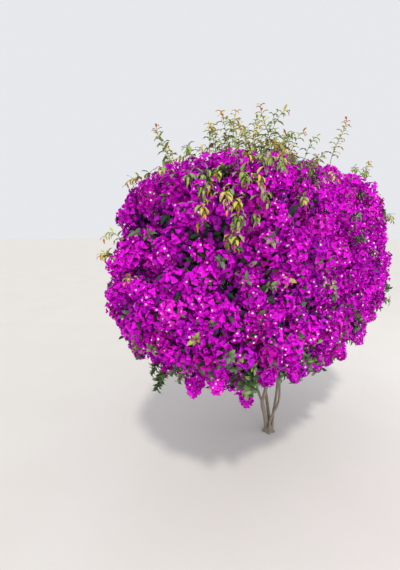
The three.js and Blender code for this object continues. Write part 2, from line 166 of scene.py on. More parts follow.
def new_material(name):
    """A node tree with the two nodes that every finish here needs."""
    material = bpy.data.materials.new(name)
    material.use_nodes = True
    tree = material.node_tree
    tree.nodes.clear()
    shader = add_node(tree, "ShaderNodeBsdfPrincipled")
    add_node(tree, "ShaderNodeOutputMaterial", inputs={"Surface": shader.outputs["BSDF"]})
    return material, tree, shader


# %% [markdown]
# ## The crown's shape
# The plant is clipped on its faces, so its crown is nearer to a block than to
# a ball. A superellipsoid says that in one formula, and a slow swell takes the
# machine-made look off it. Whatever grows on the crown is placed by this
# formula.

# %% Outness and the way out
CROWN_LENGTH = 2520
CROWN_DEPTH = 1340
CROWN_TOP = 2150
CROWN_FOOT = 520
CROWN_SHIFT = -60
CROWN_SQUARENESS = 2.7
CROWN_SWELL = 0.05
HALF = np.array([CROWN_LENGTH / 2, CROWN_DEPTH / 2, (CROWN_TOP - CROWN_FOOT) / 2])
MIDDLE = np.array([CROWN_SHIFT, 0, (CROWN_TOP + CROWN_FOOT) / 2])
SLOPE_STEP = 4


def outness(p):
    """0 in the crown's middle, 1 on its surface.

    The block is (|x|^n + |y|^n + |z|^n)^(1/n) in half sizes. Waves of the direction x, y, z
    swell it: sin(6 x + 1.1) cos(4 y - 0.5) + sin(7 z + 4 x).
    """
    q = (p - MIDDLE) / HALF
    block = (np.abs(q) ** CROWN_SQUARENESS).sum(-1) ** (1 / CROWN_SQUARENESS)
    x, y, z = np.moveaxis(unit(q), -1, 0)
    swell = np.sin(6 * x + 1.1) * np.cos(4 * y - 0.5) + np.sin(7 * z + 4 * x)
    return block / (1 + CROWN_SWELL * (0.5 * swell - 1))


def at_outness(p, out):
    """The point on p's ray from the crown's middle that is `out` of the way to the surface."""
    return MIDDLE + (p - MIDDLE) * (out / outness(p))[..., None]


def outwards(p):
    """The way straight out of the crown: the slope of outness along x, y and z."""
    slopes = [outness(p + step) - outness(p - step) for step in SLOPE_STEP * np.eye(3)]
    return unit(np.stack(slopes, axis=-1))


print("crown", CROWN_LENGTH, "x", CROWN_DEPTH, "mm, top at", CROWN_TOP)

# %% [markdown]
# ## The masses of blossom
# A bush carries its blossom in billows, each grown by one bough. Their middles
# start on a spiral and push one another apart, as branches that seek light do,
# until they are spread evenly. Three points under the crown push too, so the
# stems keep the open space that they rise through.

# %% Where the masses are
MASSES = 16
SHELL = 0.68
MASS_REACH = 690
MASS_REACH_SPREAD = 110
GOLDEN_ANGLE = math.pi * (3 - math.sqrt(5))
WHOLE_SPIRAL = MASSES * 1.2  # the lowest sixth of a whole ball's spiral is left out
PUSH = 9
PUSH_RANGE = 560
PUSH_ROUNDS = 80
OPENING_ASIDE = 0.3
OPENING_RISE = 60
DICE_FACTOR = 16807
DICE_MODULUS = 2147483647


def dice(seed):
    """Numbers from 0 to 1: each state is the last one times the factor, modulo the modulus."""
    state = seed
    while True:
        state = state * DICE_FACTOR % DICE_MODULUS
        yield state / DICE_MODULUS


def ball_direction(rise, turn):
    """A direction from two numbers from 0 to 1, evenly over a ball: height 2 rise - 1, angle 2 pi turn."""
    height = 2 * rise - 1
    flat = np.sqrt(1 - height * height)
    angle = 2 * np.pi * turn
    return np.stack([flat * np.cos(angle), flat * np.sin(angle), height], axis=-1)


OPENINGS = np.array(
    [[MIDDLE[0] + side * OPENING_ASIDE * HALF[0], 0, CROWN_FOOT + OPENING_RISE] for side in (-1, 0, 1)]
)


def spread_masses():
    """A golden-angle spiral whose points repel: each push is 9 (560 / distance)^2 millimetres a round."""
    k = np.arange(MASSES)
    around = ball_direction(1 - (k + 0.5) / WHOLE_SPIRAL, k * GOLDEN_ANGLE / (2 * np.pi))
    places = at_outness(around * HALF + MIDDLE, SHELL)
    for _ in range(PUSH_ROUNDS):
        away = places[:, None] - np.concatenate([places, OPENINGS])[None]
        distance = np.linalg.norm(away, axis=-1, keepdims=True)
        pushes = np.where(distance > 0, away * PUSH * PUSH_RANGE**2 / np.maximum(distance, 1) ** 3, 0)
        places = at_outness(places + pushes.sum(1), SHELL)
    return places[np.argsort(places[:, 2], kind="stable")]


middles = spread_masses()
reach_roll = dice(71)
reaches = np.array([MASS_REACH - MASS_REACH_SPREAD * next(reach_roll) for _ in middles])
owners = np.concatenate([middles, OPENINGS])
print("masses", len(middles), "reach", int(reaches.min()), "to", int(reaches.max()), "mm")

# %% [markdown]
# ## The limbs
# Bougainvillea stems are long and whippy. Each limb is a cubic curve that
# leaves its parent smoothly, arrives pointing into its mass, and wanders a
# little between. The five stems stand in a ring and each runs on to one of
# the highest masses. Every other mass gets a bough from the stem that reaches
# it most easily.

# %% Directions round a limb
NEARLY_UP = 0.95


def across_of(along):
    """A direction square to each of many: along x up, or along x X where that is nearly up."""
    guide = np.where(np.abs(along[:, 2:]) > NEARLY_UP, [[1.0, 0, 0]], [[0, 0, 1.0]])
    return unit(np.cross(along, guide))


def turned(along, angle):
    """The direction round each of many at its angle: across cos a + (along x across) sin a."""
    across = across_of(along)
    return across * np.cos(angle)[:, None] + np.cross(along, across) * np.sin(angle)[:, None]


def radial(along, angle):
    """The direction round a single one at an angle."""
    return turned(along[None], np.array([angle]))[0]


# %% One limb
TAPER = 0.8
LIMB_GAP = 5
FORK_SHARE = 0.3
TOUCH_SHARE = 0.02


class Limb:
    """A tapering curve from a towards b, reaching d from c.

    point(t) is the cubic Bezier curve plus bow sin(pi t^0.6)^2 (side u + other v). There u is
    sin(11 t + bearing) + kinks sin(31 t + 2 bearing), and v is cos(17 t) + kinks cos(37 t + bearing).
    """

    def __init__(self, a, b, c, d, thick, thin, bow, bearing, kinks=0.0):
        self.corners = np.array([a, b, c, d])
        self.thick, self.thin = thick, thin
        self.bow, self.bearing, self.kinks = bow, bearing, kinks
        chord = unit(self.corners[3] - self.corners[0])
        self.side = radial(chord, bearing)
        self.other = radial(chord, bearing + np.pi / 2)

    def point(self, t):
        t = np.asarray(t, dtype=float)[..., None]
        weights = np.concatenate([(1 - t) ** 3, 3 * t * (1 - t) ** 2, 3 * t**2 * (1 - t), t**3], axis=-1)
        hold = self.bow * np.sin(np.pi * t**0.6) ** 2
        aside = np.sin(11 * t + self.bearing) + self.kinks * np.sin(31 * t + 2 * self.bearing)
        across = np.cos(17 * t) + self.kinks * np.cos(37 * t + self.bearing)
        return weights @ self.corners + hold * (self.side * aside + self.other * across)

    def tangent(self, t):
        t = np.asarray(t, dtype=float)
        return unit(self.point(np.minimum(1, t + 1e-3)) - self.point(np.maximum(0, t - 1e-3)))

    def radius(self, t):
        return mix(self.thick, self.thin, np.asarray(t, dtype=float) ** TAPER)

    def samples(self, start=0, end=1, count=24):
        t = np.linspace(start, end, count + 1)
        return self.point(t), self.radius(t)

    def length(self, start=0):
        return np.linalg.norm(np.diff(self.samples(start)[0], axis=0), axis=1).sum()


def limbs_clear(made, others, parent):
    """Whether every sample of a new limb is LIMB_GAP clear of every other limb.

    Its start may touch, for longer where the other limb is the parent that it forks from.
    """
    for other in others:
        path, thick = made.samples(FORK_SHARE if other is parent else TOUCH_SHARE)
        rest, wide = other.samples()
        gaps = np.linalg.norm(path[:, None] - rest[None], axis=-1) - thick[:, None] - wide[None]
        if gaps.min() <= LIMB_GAP:
            return False
    return True


def forks(stems, first, last, step):
    """Every place where a limb may fork off: the stem, its t and the point there."""
    for parent in stems:
        t = first
        while t < last:
            yield parent, t, parent.point(t)
            t += step


# %% The stems
STEMS = 5
STEM_CIRCLE = 26
STEM_LEAN = 150
STEM_STRAIGHT = 650
STEM_RADIUS = 15.5
STEM_THINNER = 1.5
STEM_BOW = 34
STEM_KINKS = 0.3
STEM_TURN = 0.171
STEM_TWIST = 0.16
STEM_ARRIVE = 0.25
TIP_RADIUS = 5.5
BOUGH_END = 0.4


def foot_of(index):
    """Where a limb enters its mass."""
    return at_outness(middles[index], BOUGH_END)


def grow_stems():
    """Five limbs that turn round one another from a ring on the foot.

    They are sorted along X as their masses are.
    """
    owned = sorted(range(MASSES - STEMS, MASSES), key=lambda i: middles[i][0])
    bearings = sorted((2 * np.pi * (STEM_TURN + k / STEMS) for k in range(STEMS)), key=math.cos)
    grown = []
    for k, (bearing, index) in enumerate(zip(bearings, owned)):
        aside = np.array([math.cos(bearing), math.sin(bearing), 0])
        rooted = bearing - 2 * np.pi * STEM_TWIST
        start = np.array([math.cos(rooted), math.sin(rooted), 0]) * STEM_CIRCLE
        end = foot_of(index)
        lean = aside * STEM_LEAN + UP * STEM_STRAIGHT
        arrive = end - unit(middles[index] - end) * STEM_ARRIVE * np.linalg.norm(end - start)
        thick = STEM_RADIUS - STEM_THINNER * (k * 2 % STEMS)
        grown.append(Limb(start, lean, arrive, end, thick, TIP_RADIUS, STEM_BOW, bearing, STEM_KINKS))
    return grown


# %% The boughs
BOUGH_RADIUS = 9.5
BOUGH_THINNER = 0.75
BOUGH_BOW = 8
BOUGH_LEAVE = 0.35
BOUGH_ARRIVE = 0.3
BOUGH_FORKS = (0.3, 0.86, 0.04)  # first, last and step of t on the stem
WANTED_RISE = 0.45
FLAT_COST = 500
LOAD_COST = 70


def bough_from(parent, t, start, way, end, index):
    """A limb that leaves its parent along it and arrives pointing at its mass's middle."""
    leave = start + parent.tangent(t) * BOUGH_LEAVE * way
    arrive = end - unit(middles[index] - end) * BOUGH_ARRIVE * way
    thick = min(BOUGH_RADIUS, BOUGH_THINNER * float(parent.radius(t)))
    return Limb(start, leave, arrive, end, thick, TIP_RADIUS, BOUGH_BOW, index)


def grow_boughs(stems):
    """For each mass without a stem, the cheapest clear way.

    The cost is the distance, plus a penalty for a flat run and one for each bough that the stem already has.
    """
    limbs, grown, load = list(stems), [], {}
    for index in range(MASSES - STEMS):
        end, choices = foot_of(index), []
        for parent, t, start in forks(stems, *BOUGH_FORKS):
            way = float(np.linalg.norm(end - start))
            rise = (end[2] - start[2]) / way
            cost = way + FLAT_COST * max(0, WANTED_RISE - rise) + LOAD_COST * load.get(id(parent), 0)
            choices.append((cost, parent, t, start, way))
        for _, parent, t, start, way in sorted(choices, key=lambda choice: choice[0]):
            bough = bough_from(parent, t, start, way, end, index)
            if limbs_clear(bough, limbs, parent):
                break
        load[id(parent)] = load.get(id(parent), 0) + 1
        limbs.append(bough)
        grown.append(bough)
    return grown


stems = grow_stems()
boughs = grow_boughs(stems)
lengths = [limb.length() for limb in stems + boughs]
print("stems", len(stems), "boughs", len(boughs), "longest", int(max(lengths)), "shortest", int(min(lengths)))

# %% [markdown]
# ## The canes
# Every season a bougainvillea throws long canes straight up through its crown.
# They slip out between the masses and stand above the rest. Each one takes the
# widest gap that it can reach, well away from the last one.

# %% Canes through the crown
CANES = 5
CANE_RADIUS = 6
CANE_TIP = 3
CANE_LEAVES_FROM = 0.93
CANE_SPACING = 330
CANE_RISE = 330
CANE_SPREAD = 0.72
CANE_BEND = 0.3
CANE_FORKS = (0.45, 0.85, 0.08)
CANE_GRID = 60
ROOM_FROM = 0.4
WAY_COST = 0.15


def cane_to(aim, parent, start, t, k):
    """A limb to a point near the surface, and how much room it keeps from the masses' middles on its way."""
    end = at_outness(aim, CANE_LEAVES_FROM)
    way = float(np.linalg.norm(end - start))
    leave = start + unit(parent.tangent(t) + unit(end - start)) * CANE_BEND * way
    limb = Limb(start, leave, end - UP * CANE_BEND * way, end, CANE_RADIUS, CANE_TIP, BOUGH_BOW, k)
    path = limb.samples(ROOM_FROM)[0]
    room = np.linalg.norm(path[:, None] - middles[None], axis=-1).min()
    return room - WAY_COST * way, limb, parent


def grow_canes(stems, limbs):
    """For each cane, the choice with the most room.

    It also has to be clear of every limb, and far from the other canes' tips.
    """
    limbs, grown = list(limbs), []
    for k in range(CANES):
        wanted = MIDDLE[0] + mix(-CANE_SPREAD, CANE_SPREAD, k / (CANES - 1)) * HALF[0]
        choices = []
        for parent, t, start in forks(stems, *CANE_FORKS):
            for along in range(-3, 4):
                for deep in range(-5, 6):
                    aim = np.array([wanted + along * CANE_GRID, deep * CANE_GRID, CROWN_TOP])
                    choices.append(cane_to(aim, parent, start, t, k))
        for _, limb, parent in sorted(choices, key=lambda choice: -choice[0]):
            apart = all(np.linalg.norm(other.point(1) - limb.point(1)) > CANE_SPACING for other in grown)
            if apart and limbs_clear(limb, limbs, parent):
                break
        limbs.append(limb)
        grown.append(limb)
    return grown


canes = grow_canes(stems, stems + boughs)
print("canes leave the crown at", [[int(x) for x in cane.point(1)] for cane in canes])

# %% [markdown]
# ## Bark
# An old bougainvillea stem is grey-brown and fluted: shallow lobes wander up
# it, with a swelling every hand's breadth where a thorn or a side shoot once
# stood, and fine cracks between. A tube is a circle carried along the limb's
# curve. Here the circle's radius changes with the angle and the way along, so
# the outline is uneven too, which bump alone would not show.

# %% Tubes carried along curves
def tube_faces(rings, sides):
    """One closed tube's triangles: two for each square between its rings, and a fan at each end."""
    ring, side = np.meshgrid(np.arange(rings - 1), np.arange(sides), indexing="ij")
    a, b = ring * sides + side, ring * sides + (side + 1) % sides
    wall = np.stack([a, b, b + sides, a, b + sides, a + sides], axis=-1).reshape(-1, 3)
    s, last = np.arange(1, sides - 1), (rings - 1) * sides
    foot = np.stack([0 * s, s + 1, s], axis=-1)
    top = np.stack([0 * s + last, last + s, last + s + 1], axis=-1)
    return np.concatenate([wall, foot, top])


def tubes(centres, radii, sides_way, sides):
    """Closed tubes round many curves at once: centres (n, m, 3), radii (n, m, sides).

    Each corner is the centre plus radius (across cos a + beside sin a). Across is one fixed
    way for each curve, made square to the tangent, so the tube never twists.
    """
    count, rings = centres.shape[:2]
    along = unit(np.gradient(centres, axis=1))
    across = sides_way[:, None] - (sides_way[:, None] * along).sum(-1, keepdims=True) * along
    across = unit(across)
    beside = np.cross(along, across)
    angle = 2 * np.pi * np.arange(sides) / sides
    round_way = across[:, :, None] * np.cos(angle)[:, None] + beside[:, :, None] * np.sin(angle)[:, None]
    places = (centres[:, :, None] + round_way * radii[..., None]).reshape(-1, 3)
    return places, repeated(tube_faces(rings, sides), count, rings * sides)


# %% The bark's relief
BARK_STEP = 10
FLUTES = 5
FLUTE_DEPTH = 0.10
FLUTE_WANDER = 210
FLUTE_WOBBLE = 47
KNOT_SPACING = 85
KNOT_RISE = 0.16
KNOT_HALF_LENGTH = 13
KNOT_TURN = 2.4  # radians, the golden angle
CRACKS = 7
CRACK_DEPTH = 0.05
CRACK_WANDER = 38
CRACK_LENGTH = 27
STEM_SIDES = 22
BOUGH_SIDES = 10
STEM_START = 0.006
STEM_SEED = 1.7
BOUGH_SEED = 2.3


def bark_relief(way, angle, seed):
    """The share by which a limb is thicker at a distance along it and an angle round it.

    Flutes are cosines of the angle whose phase wanders. Knots are narrow bumps at even steps, each
    a golden angle round from the last. Cracks are fine ridges that wander, die out and start again.
    """
    way, angle = way[:, None], angle[None]
    phase = 1.3 * np.sin(way / FLUTE_WANDER + seed) + 0.4 * np.sin(way / FLUTE_WOBBLE + 2 * seed)
    flutes = FLUTE_DEPTH * (np.cos(FLUTES * angle + phase) + 0.5 * np.cos(2 * angle - 2 * phase)) / 1.5
    step = np.round(way / KNOT_SPACING)
    off = (way - step * KNOT_SPACING) / KNOT_HALF_LENGTH
    facing = np.cos(angle - step * KNOT_TURN - seed)
    knots = KNOT_RISE * np.exp(-off * off) * np.clip(facing, 0, 1) ** 3
    cracks = CRACK_DEPTH * np.sin(CRACKS * angle + 2 * np.sin(way / CRACK_WANDER + seed))
    return flutes + knots + cracks * np.sin(way / CRACK_LENGTH + 2 * np.sin(2 * angle))


def bark_tube(limb, start, sides, seed):
    """A limb from t = start to its tip, with the bark's relief on it."""
    length = limb.length(start)
    t = np.linspace(start, 1, max(8, int(length / BARK_STEP)))
    angle = 2 * np.pi * np.arange(sides) / sides
    relief = bark_relief((t - start) / (1 - start) * length, angle, seed)
    radii = limb.radius(t)[:, None] * (1 + relief)
    return tubes(limb.point(t)[None], radii[None], limb.side[None], sides)


# %% The swollen foot
ROOT_RADIUS = 30
ROOT_HEIGHT = 52
ROOT_DOME = 4
ROOT_SHOULDER = 0.54
ROOT_ROUNDING = 0.6
ROOT_FLARE = 17
ROOT_FLARE_HEIGHT = 22
ROOT_RIDGE = 2
ROOT_RIDGE_FLARE = 0.25
ROOT_RELIEF = 0.6
ROOT_SEED = 3.0
ROOT_SIDES = 80
ROOT_RINGS = 30
POLE = 0.5


def root_crown():
    """The stump that the stems share: a flare, a ridge below each stem, and a rounded top.

    Radius = (foot + flare e^(-z / 22)) times the top's rounding, plus a ridge wave of the angle,
    plus the bark's relief. The first and last rings shrink to poles at the cut and at the top.
    """
    s = np.linspace(0, 1, ROOT_RINGS)
    height = np.concatenate([[0, 0], ROOT_HEIGHT * s[1:-1], [ROOT_HEIGHT + ROOT_DOME]])
    shoulder = np.clip(height / ROOT_HEIGHT - ROOT_SHOULDER, 0, None)
    rounding = np.sqrt(np.clip(1 - (shoulder / ROOT_ROUNDING) ** 2, 0, 1))
    angle = 2 * np.pi * np.arange(ROOT_SIDES) / ROOT_SIDES
    flare = ROOT_FLARE * np.exp(-height / ROOT_FLARE_HEIGHT)
    ridge = np.cos(STEMS * (angle - 2 * np.pi * (STEM_TURN - STEM_TWIST)))
    radius = ((ROOT_RADIUS + flare) * rounding)[:, None]
    radius = radius + (ROOT_RIDGE + ROOT_RIDGE_FLARE * flare)[:, None] * ridge
    radius = radius * (1 + ROOT_RELIEF * bark_relief(height, angle, ROOT_SEED))
    radius[[0, -1]] = POLE
    centres = np.stack([0 * height, 0 * height, height], axis=-1)
    ways = np.stack([np.cos(angle), np.sin(angle), 0 * angle], axis=-1)
    places = (centres[:, None] + ways[None] * radius[..., None]).reshape(-1, 3)
    return places, tube_faces(len(height), ROOT_SIDES)


# %% [markdown]
# Bark is dead cork and quite matt. It is dark where it is fresh, pale where it
# has flaked, and weathers to grey in patches as wide as a hand. Noise drawn out
# along the stem gives streaks that repeat every 8 mm round it and every 64 mm
# along it. A second noise gives the corky grain that the bump reads. It is
# 2.4 mm wide, about twice as coarse as real bark's, which would not show.

# %% Bark material
STREAK_WIDTH = 7.69
STREAK_LENGTH = 64.1
PATCH = 71.4
GRAIN = 2.38


def bark_material():
    """Weathered grey-brown bark."""
    material, tree, shader = new_material("weathered_bark")
    place = add_node(tree, "ShaderNodeTexCoord").outputs["Object"]
    drawn_out = add_node(
        tree,
        "ShaderNodeMapping",
        inputs={"Vector": place, "Scale": (1.0, 1.0, STREAK_WIDTH / STREAK_LENGTH)},
    ).outputs["Vector"]
    streaks = add_node(
        tree,
        "ShaderNodeTexNoise",
        inputs={"Vector": drawn_out, "Scale": per_metre(STREAK_WIDTH), "Detail": 6.0, "Roughness": 0.62},
    )
    shades = add_node(tree, "ShaderNodeValToRGB", inputs={"Fac": streaks.outputs["Fac"]})
    ramp = shades.color_ramp
    ramp.elements[0].position, ramp.elements[0].color = 0.30, colour("#54463A")
    ramp.elements[1].position, ramp.elements[1].color = 0.72, colour("#B8A996")
    ramp.elements.new(0.5).color = colour("#8A7A69")
    patches = add_node(
        tree, "ShaderNodeTexNoise", inputs={"Vector": place, "Scale": per_metre(PATCH), "Detail": 3.0}
    )
    weathered = add_node(
        tree,
        "ShaderNodeMix",
        {"data_type": "RGBA"},
        {"Factor": patches.outputs["Fac"], "A": shades.outputs["Color"], "B": colour("#8E857B")},
    )
    grain = add_node(
        tree, "ShaderNodeTexNoise", inputs={"Vector": drawn_out, "Scale": per_metre(GRAIN), "Detail": 4.0}
    )
    bump = add_node(
        tree,
        "ShaderNodeBump",
        inputs={"Strength": 0.6, "Distance": 0.002, "Height": grain.outputs["Fac"]},
    )
    looks = {
        "Base Color": weathered.outputs["Result"],
        "Normal": bump.outputs["Normal"],
        "Roughness": 0.88,
    }
    feed(tree, shader, looks)
    return material


bark = bark_material()
stem_tubes = [bark_tube(limb, STEM_START, STEM_SIDES, STEM_SEED * k) for k, limb in enumerate(stems)]
bark_stems = into_mesh("stems_and_foot", *joined([root_crown(), *stem_tubes]), [bark])
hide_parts("root_crown", *[name for name in nodes if name.startswith("stem_")])

limb_tubes = [bark_tube(limb, 0, BOUGH_SIDES, BOUGH_SEED * k) for k, limb in enumerate(boughs + canes)]
bark_boughs = into_mesh("boughs_and_canes", *joined(limb_tubes), [bark])
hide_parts(*[name for name in nodes if name.startswith(("bough_", "cane_"))])

# %% [markdown]
# ## Where twigs and sprays stand
# The source throws darts at the crown and keeps each one that lands far enough
# from the rest. Its wide spacing gives the main twigs. The same throw with a
# hand's breadth of spacing gives the flowering sprays, so each main twig
# carries the sprays around it. Along the lower edge some twigs have grown too
# long to hold themselves up, and hang with three sprays, each smaller than the
# one above it.

# %% Scattered spots
LEAST_SINK = 10
SPOT_SIZES = (0.85, 1.1)
REACH_MARGIN = 30


def only(spots, chosen):
    """The chosen spots of a scatter."""
    return {key: values[chosen] for key, values in spots.items()}


def scatter(spacing, darts, seed, sink, tilt):
    """Spots on the crown's surface that belong to a mass, no two nearer than the spacing.

    Each has its mass, the way it faces, a turn, a size and how far it sits under the surface.
    """
    roll = dice(seed)
    kept = np.empty((0, 3))
    rest = []
    for _ in range(darts):
        around = ball_direction(next(roll), next(roll)) * HALF
        place = at_outness(around + MIDDLE, 1)
        if len(kept) and (((kept - place) ** 2).sum(1) < spacing**2).any():
            continue
        kept = np.vstack([kept, place])
        lean = ball_direction(next(roll), next(roll)) * tilt
        own = [2 * np.pi * next(roll), mix(*SPOT_SIZES, next(roll)), LEAST_SINK + sink * next(roll)]
        rest.append([*lean, *own])
    rest = np.array(rest)
    spots = {
        "place": kept,
        "owner": np.linalg.norm(kept[:, None] - owners[None], axis=-1).argmin(1),
        "facing": unit(outwards(kept) + rest[:, :3]),
        "turn": rest[:, 3],
        "size": rest[:, 4],
        "sink": rest[:, 5],
    }
    return only(spots, spots["owner"] < MASSES)


def within_reach(spots, roots):
    """Roots that lie beyond their mass's reach are drawn in towards its middle."""
    centre = owners[spots["owner"]]
    far = np.linalg.norm(roots - centre, axis=-1)
    share = np.minimum(1, (reaches[spots["owner"]] - REACH_MARGIN) / np.maximum(far, 1))
    return centre + (roots - centre) * share[:, None]


# %% Main twigs and sprays
BILLOW = 110
BILLOW_SINK = 72
SEAM = 50
SEAM_SINK = 80

heads = scatter(spacing=158, darts=6000, seed=29, sink=60, tilt=0.45)
sprays = scatter(spacing=68, darts=50000, seed=47, sink=34, tilt=0.45)


def billow_sink(spots):
    """How much deeper a spray sits away from its billow's top, and near the seam between two masses.

    BILLOW_SINK (way to the nearest main twig / BILLOW)^2, plus SEAM_SINK e^(-margin / SEAM), where the
    margin is how much nearer its own mass's middle is than the next one's.
    """
    away = np.linalg.norm(spots["place"][:, None] - heads["place"][None], axis=-1).min(1)
    to_owners = np.sort(np.linalg.norm(spots["place"][:, None] - owners[None], axis=-1), axis=1)
    margin = to_owners[:, 1] - to_owners[:, 0]
    return BILLOW_SINK * np.minimum(1, away / BILLOW) ** 2 + SEAM_SINK * np.exp(-margin / SEAM)


sprays["sink"] = sprays["sink"] + billow_sink(sprays)

# %% Sprays that weep over the crown's lower edge
RIM_BAND = 380
RIM_FACING = (-0.85, 0.1)  # how far up a spray of the lower edge faces
WEEPING_SHARE = 0.30
WEEPING_DROP = 135
WEEPING_SIZES = {0.3: 0.80, 0.65: 0.66, 1.0: 0.50}  # share of the way down: size of the spray there
HELD_UP = 360  # over the stems the twigs are short and hold themselves up
HELD_UP_FADE = 600


def weeping(spots, fall, size):
    """Copies of the chosen sprays, moved down by `fall` and 0.3 of it outwards, and facing down and out."""
    way = unit(spots["facing"] * [1, 1, 0]) * 0.3 - UP
    drawn = only(spots, slice(None))
    drawn["place"] = spots["place"] + way * fall[:, None]
    drawn["facing"] = unit(spots["facing"] * 0.8 + way * 0.4)
    drawn["size"] = spots["size"] * size
    drawn["turn"] = spots["turn"] + fall
    return drawn


rim_roll = np.random.default_rng(71)
low_down = sprays["place"][:, 2] < CROWN_FOOT + RIM_BAND
overhanging = (sprays["facing"][:, 2] < RIM_FACING[1]) & (sprays["facing"][:, 2] > RIM_FACING[0])
on_rim = np.flatnonzero(low_down & overhanging & (rim_roll.random(len(low_down)) < WEEPING_SHARE))
rim = only(sprays, on_rim)
from_stems = np.linalg.norm(rim["place"][:, :2], axis=1)
overhang = np.clip((from_stems - HELD_UP) / HELD_UP_FADE, 0, 1)
fall = WEEPING_DROP * overhang * rim_roll.uniform(0.3, 1.0, len(on_rim))
hanging = [weeping(rim, fall * share, size) for share, size in WEEPING_SIZES.items()]
sprays = {key: np.concatenate([values, *[drawn[key] for drawn in hanging]]) for key, values in sprays.items()}
print("main twigs", len(heads["place"]), "sprays", len(sprays["place"]), "weeping twigs", len(on_rim))
print("sprays sink", int(sprays["sink"].min()), "to", int(sprays["sink"].max()), "mm")

# %% [markdown]
# ## Twigs
# Inside each mass its bough runs on as a stem to the middle, main twigs fan
# out from there, and thin twigs fork off them towards the light. The source
# makes the first two, and this carries the rule two steps further. Twigs
# this thin show as lines, so three sides are enough.

# %% Twig curves
MASS_STEM_RADIUS = 5.5
MAIN_TWIG_RADIUS = 4.4
SIDE_TWIG_RADIUS = 2.2
FINE_TWIG_RADIUS = 1.0
MAIN_TWIG_RINGS = 6
SIDE_TWIG_RINGS = 4
MAIN_TWIG_SINK = 70
MAIN_TWIG_ARCH = 25
SIDE_TWIG_BEND = 0.45


def arcs(a, b, c, count):
    """Points on curves from a to c that set out towards b: (1 - t)^2 a + 2 t (1 - t) b + t^2 c."""
    t = np.linspace(0, 1, count)[None, :, None]
    a, b, c = a[:, None], b[:, None], c[:, None]
    return (1 - t) ** 2 * a + 2 * t * (1 - t) * b + t**2 * c


def twig_tubes(curves, thick, thin):
    """Three-sided closed tubes whose radius falls evenly from thick to thin."""
    count, rings = curves.shape[:2]
    radii = np.broadcast_to(np.linspace(thick, thin, rings)[None, :, None], (count, rings, 3))
    chord = unit(curves[:, -1] - curves[:, 0])
    return tubes(curves, radii, across_of(chord), 3)


feet = np.array([foot_of(index) for index in range(MASSES)])
mass_stems = arcs(feet, mix(feet, middles, 0.5), middles, MAIN_TWIG_RINGS)

under_heads = heads["facing"] * (heads["sink"] + MAIN_TWIG_SINK)[:, None]
head_roots = within_reach(heads, heads["place"] - under_heads)
head_starts = mix(owners[heads["owner"]], head_roots, 0.05)
head_bends = mix(head_starts, head_roots, 0.6) + UP * MAIN_TWIG_ARCH
main_twigs = arcs(head_starts, head_bends, head_roots, MAIN_TWIG_RINGS)

spray_tips = within_reach(sprays, sprays["place"] - sprays["facing"] * sprays["sink"][:, None])
same_mass = sprays["owner"][:, None] == heads["owner"][None]
apart = np.linalg.norm(spray_tips[:, None] - head_roots[None], axis=-1)
carrier = np.where(same_mass, apart, np.inf).argmin(1)
fork = 1 + np.arange(len(spray_tips)) % (MAIN_TWIG_RINGS - 2)
spray_starts = main_twigs[carrier, fork]
spray_way = np.linalg.norm(spray_tips - spray_starts, axis=-1)[:, None]
spray_bends = spray_tips - sprays["facing"] * SIDE_TWIG_BEND * spray_way
spray_twigs = arcs(spray_starts, spray_bends, spray_tips, SIDE_TWIG_RINGS)
print("side twigs", len(spray_twigs), "longest", int(spray_way.max()), "mm")

# %% [markdown]
# ## Bracts
# What looks like a petal is a bract, a papery leaf that has taken on colour.
# Three of them stand round three small flowers, each bract about 25 mm long,
# pointed, and folded a little along its rib. They rise steeply from the stalk
# and then flare out. Six corners round the edge and one on the rib give that
# outline with six faces. Flat shading keeps the crisp look of thin paper.

# %% One blade
RIB_STEPS = 40
BLADE_STEPS = np.array([0.0, 0.48, 1.0, 0.28, 0.28, 0.66, 0.66])
BLADE_SIDES = np.array([0, 0, 0, -1, 1, -1, 1])
BLADE_FACES = np.array([[1, 0, 4], [1, 4, 6], [1, 6, 2], [1, 2, 5], [1, 5, 3], [1, 3, 0]])


def blade(length, half_width, rise, fall, fold):
    """Seven corners of a leaf that starts at the origin and runs along +Y with its face to +Z.

    They are the foot, a point on the rib, the tip and two on each edge. The rib climbs at an angle
    that goes from rise to fall along it. The half width is half_width sin(pi v^0.8), and each edge
    is lifted off the rib by fold times its width.
    """
    steps = np.linspace(0, 1, RIB_STEPS + 1)
    angle = mix(rise, fall, steps)
    forward = np.concatenate([[0], np.cumsum(np.cos(angle[:-1]) * length / RIB_STEPS)])
    upward = np.concatenate([[0], np.cumsum(np.sin(angle[:-1]) * length / RIB_STEPS)])
    wide = half_width * np.sin(np.pi * BLADE_STEPS**0.8)
    lean = mix(rise, fall, BLADE_STEPS)
    lift = fold * wide * np.abs(BLADE_SIDES)
    return np.stack(
        [
            BLADE_SIDES * wide,
            np.interp(BLADE_STEPS, steps, forward) - lift * np.sin(lean),
            np.interp(BLADE_STEPS, steps, upward) + lift * np.cos(lean),
        ],
        axis=-1,
    )


def blades(*forms):
    """A shape for each form: its length, half width, rise, fall and fold."""
    return [(blade(*form), BLADE_FACES) for form in forms]


# %% A trio of bracts
BRACT_LENGTH = 25
BRACT_HALF_WIDTH = 10.8
BRACT_SIZES = (0.86, 1.1)
BRACT_SWING = 0.25
TRIO_FORMS = [  # rise, fall, fold, and how far the tilt of one bract may stray
    (1.15, 0.10, 0.45, 0.25),
    (0.95, -0.10, 0.55, 0.30),
    (1.30, 0.50, 0.40, 0.20),
    (0.80, 0.30, 0.65, 0.35),
    (1.05, -0.40, 0.50, 0.30),
    (1.40, 0.80, 0.45, 0.20),
]


def spun(places, angle):
    """Corners turned about +Z."""
    c, s = math.cos(angle), math.sin(angle)
    return places @ np.array([[c, s, 0], [-s, c, 0], [0, 0, 1.0]])


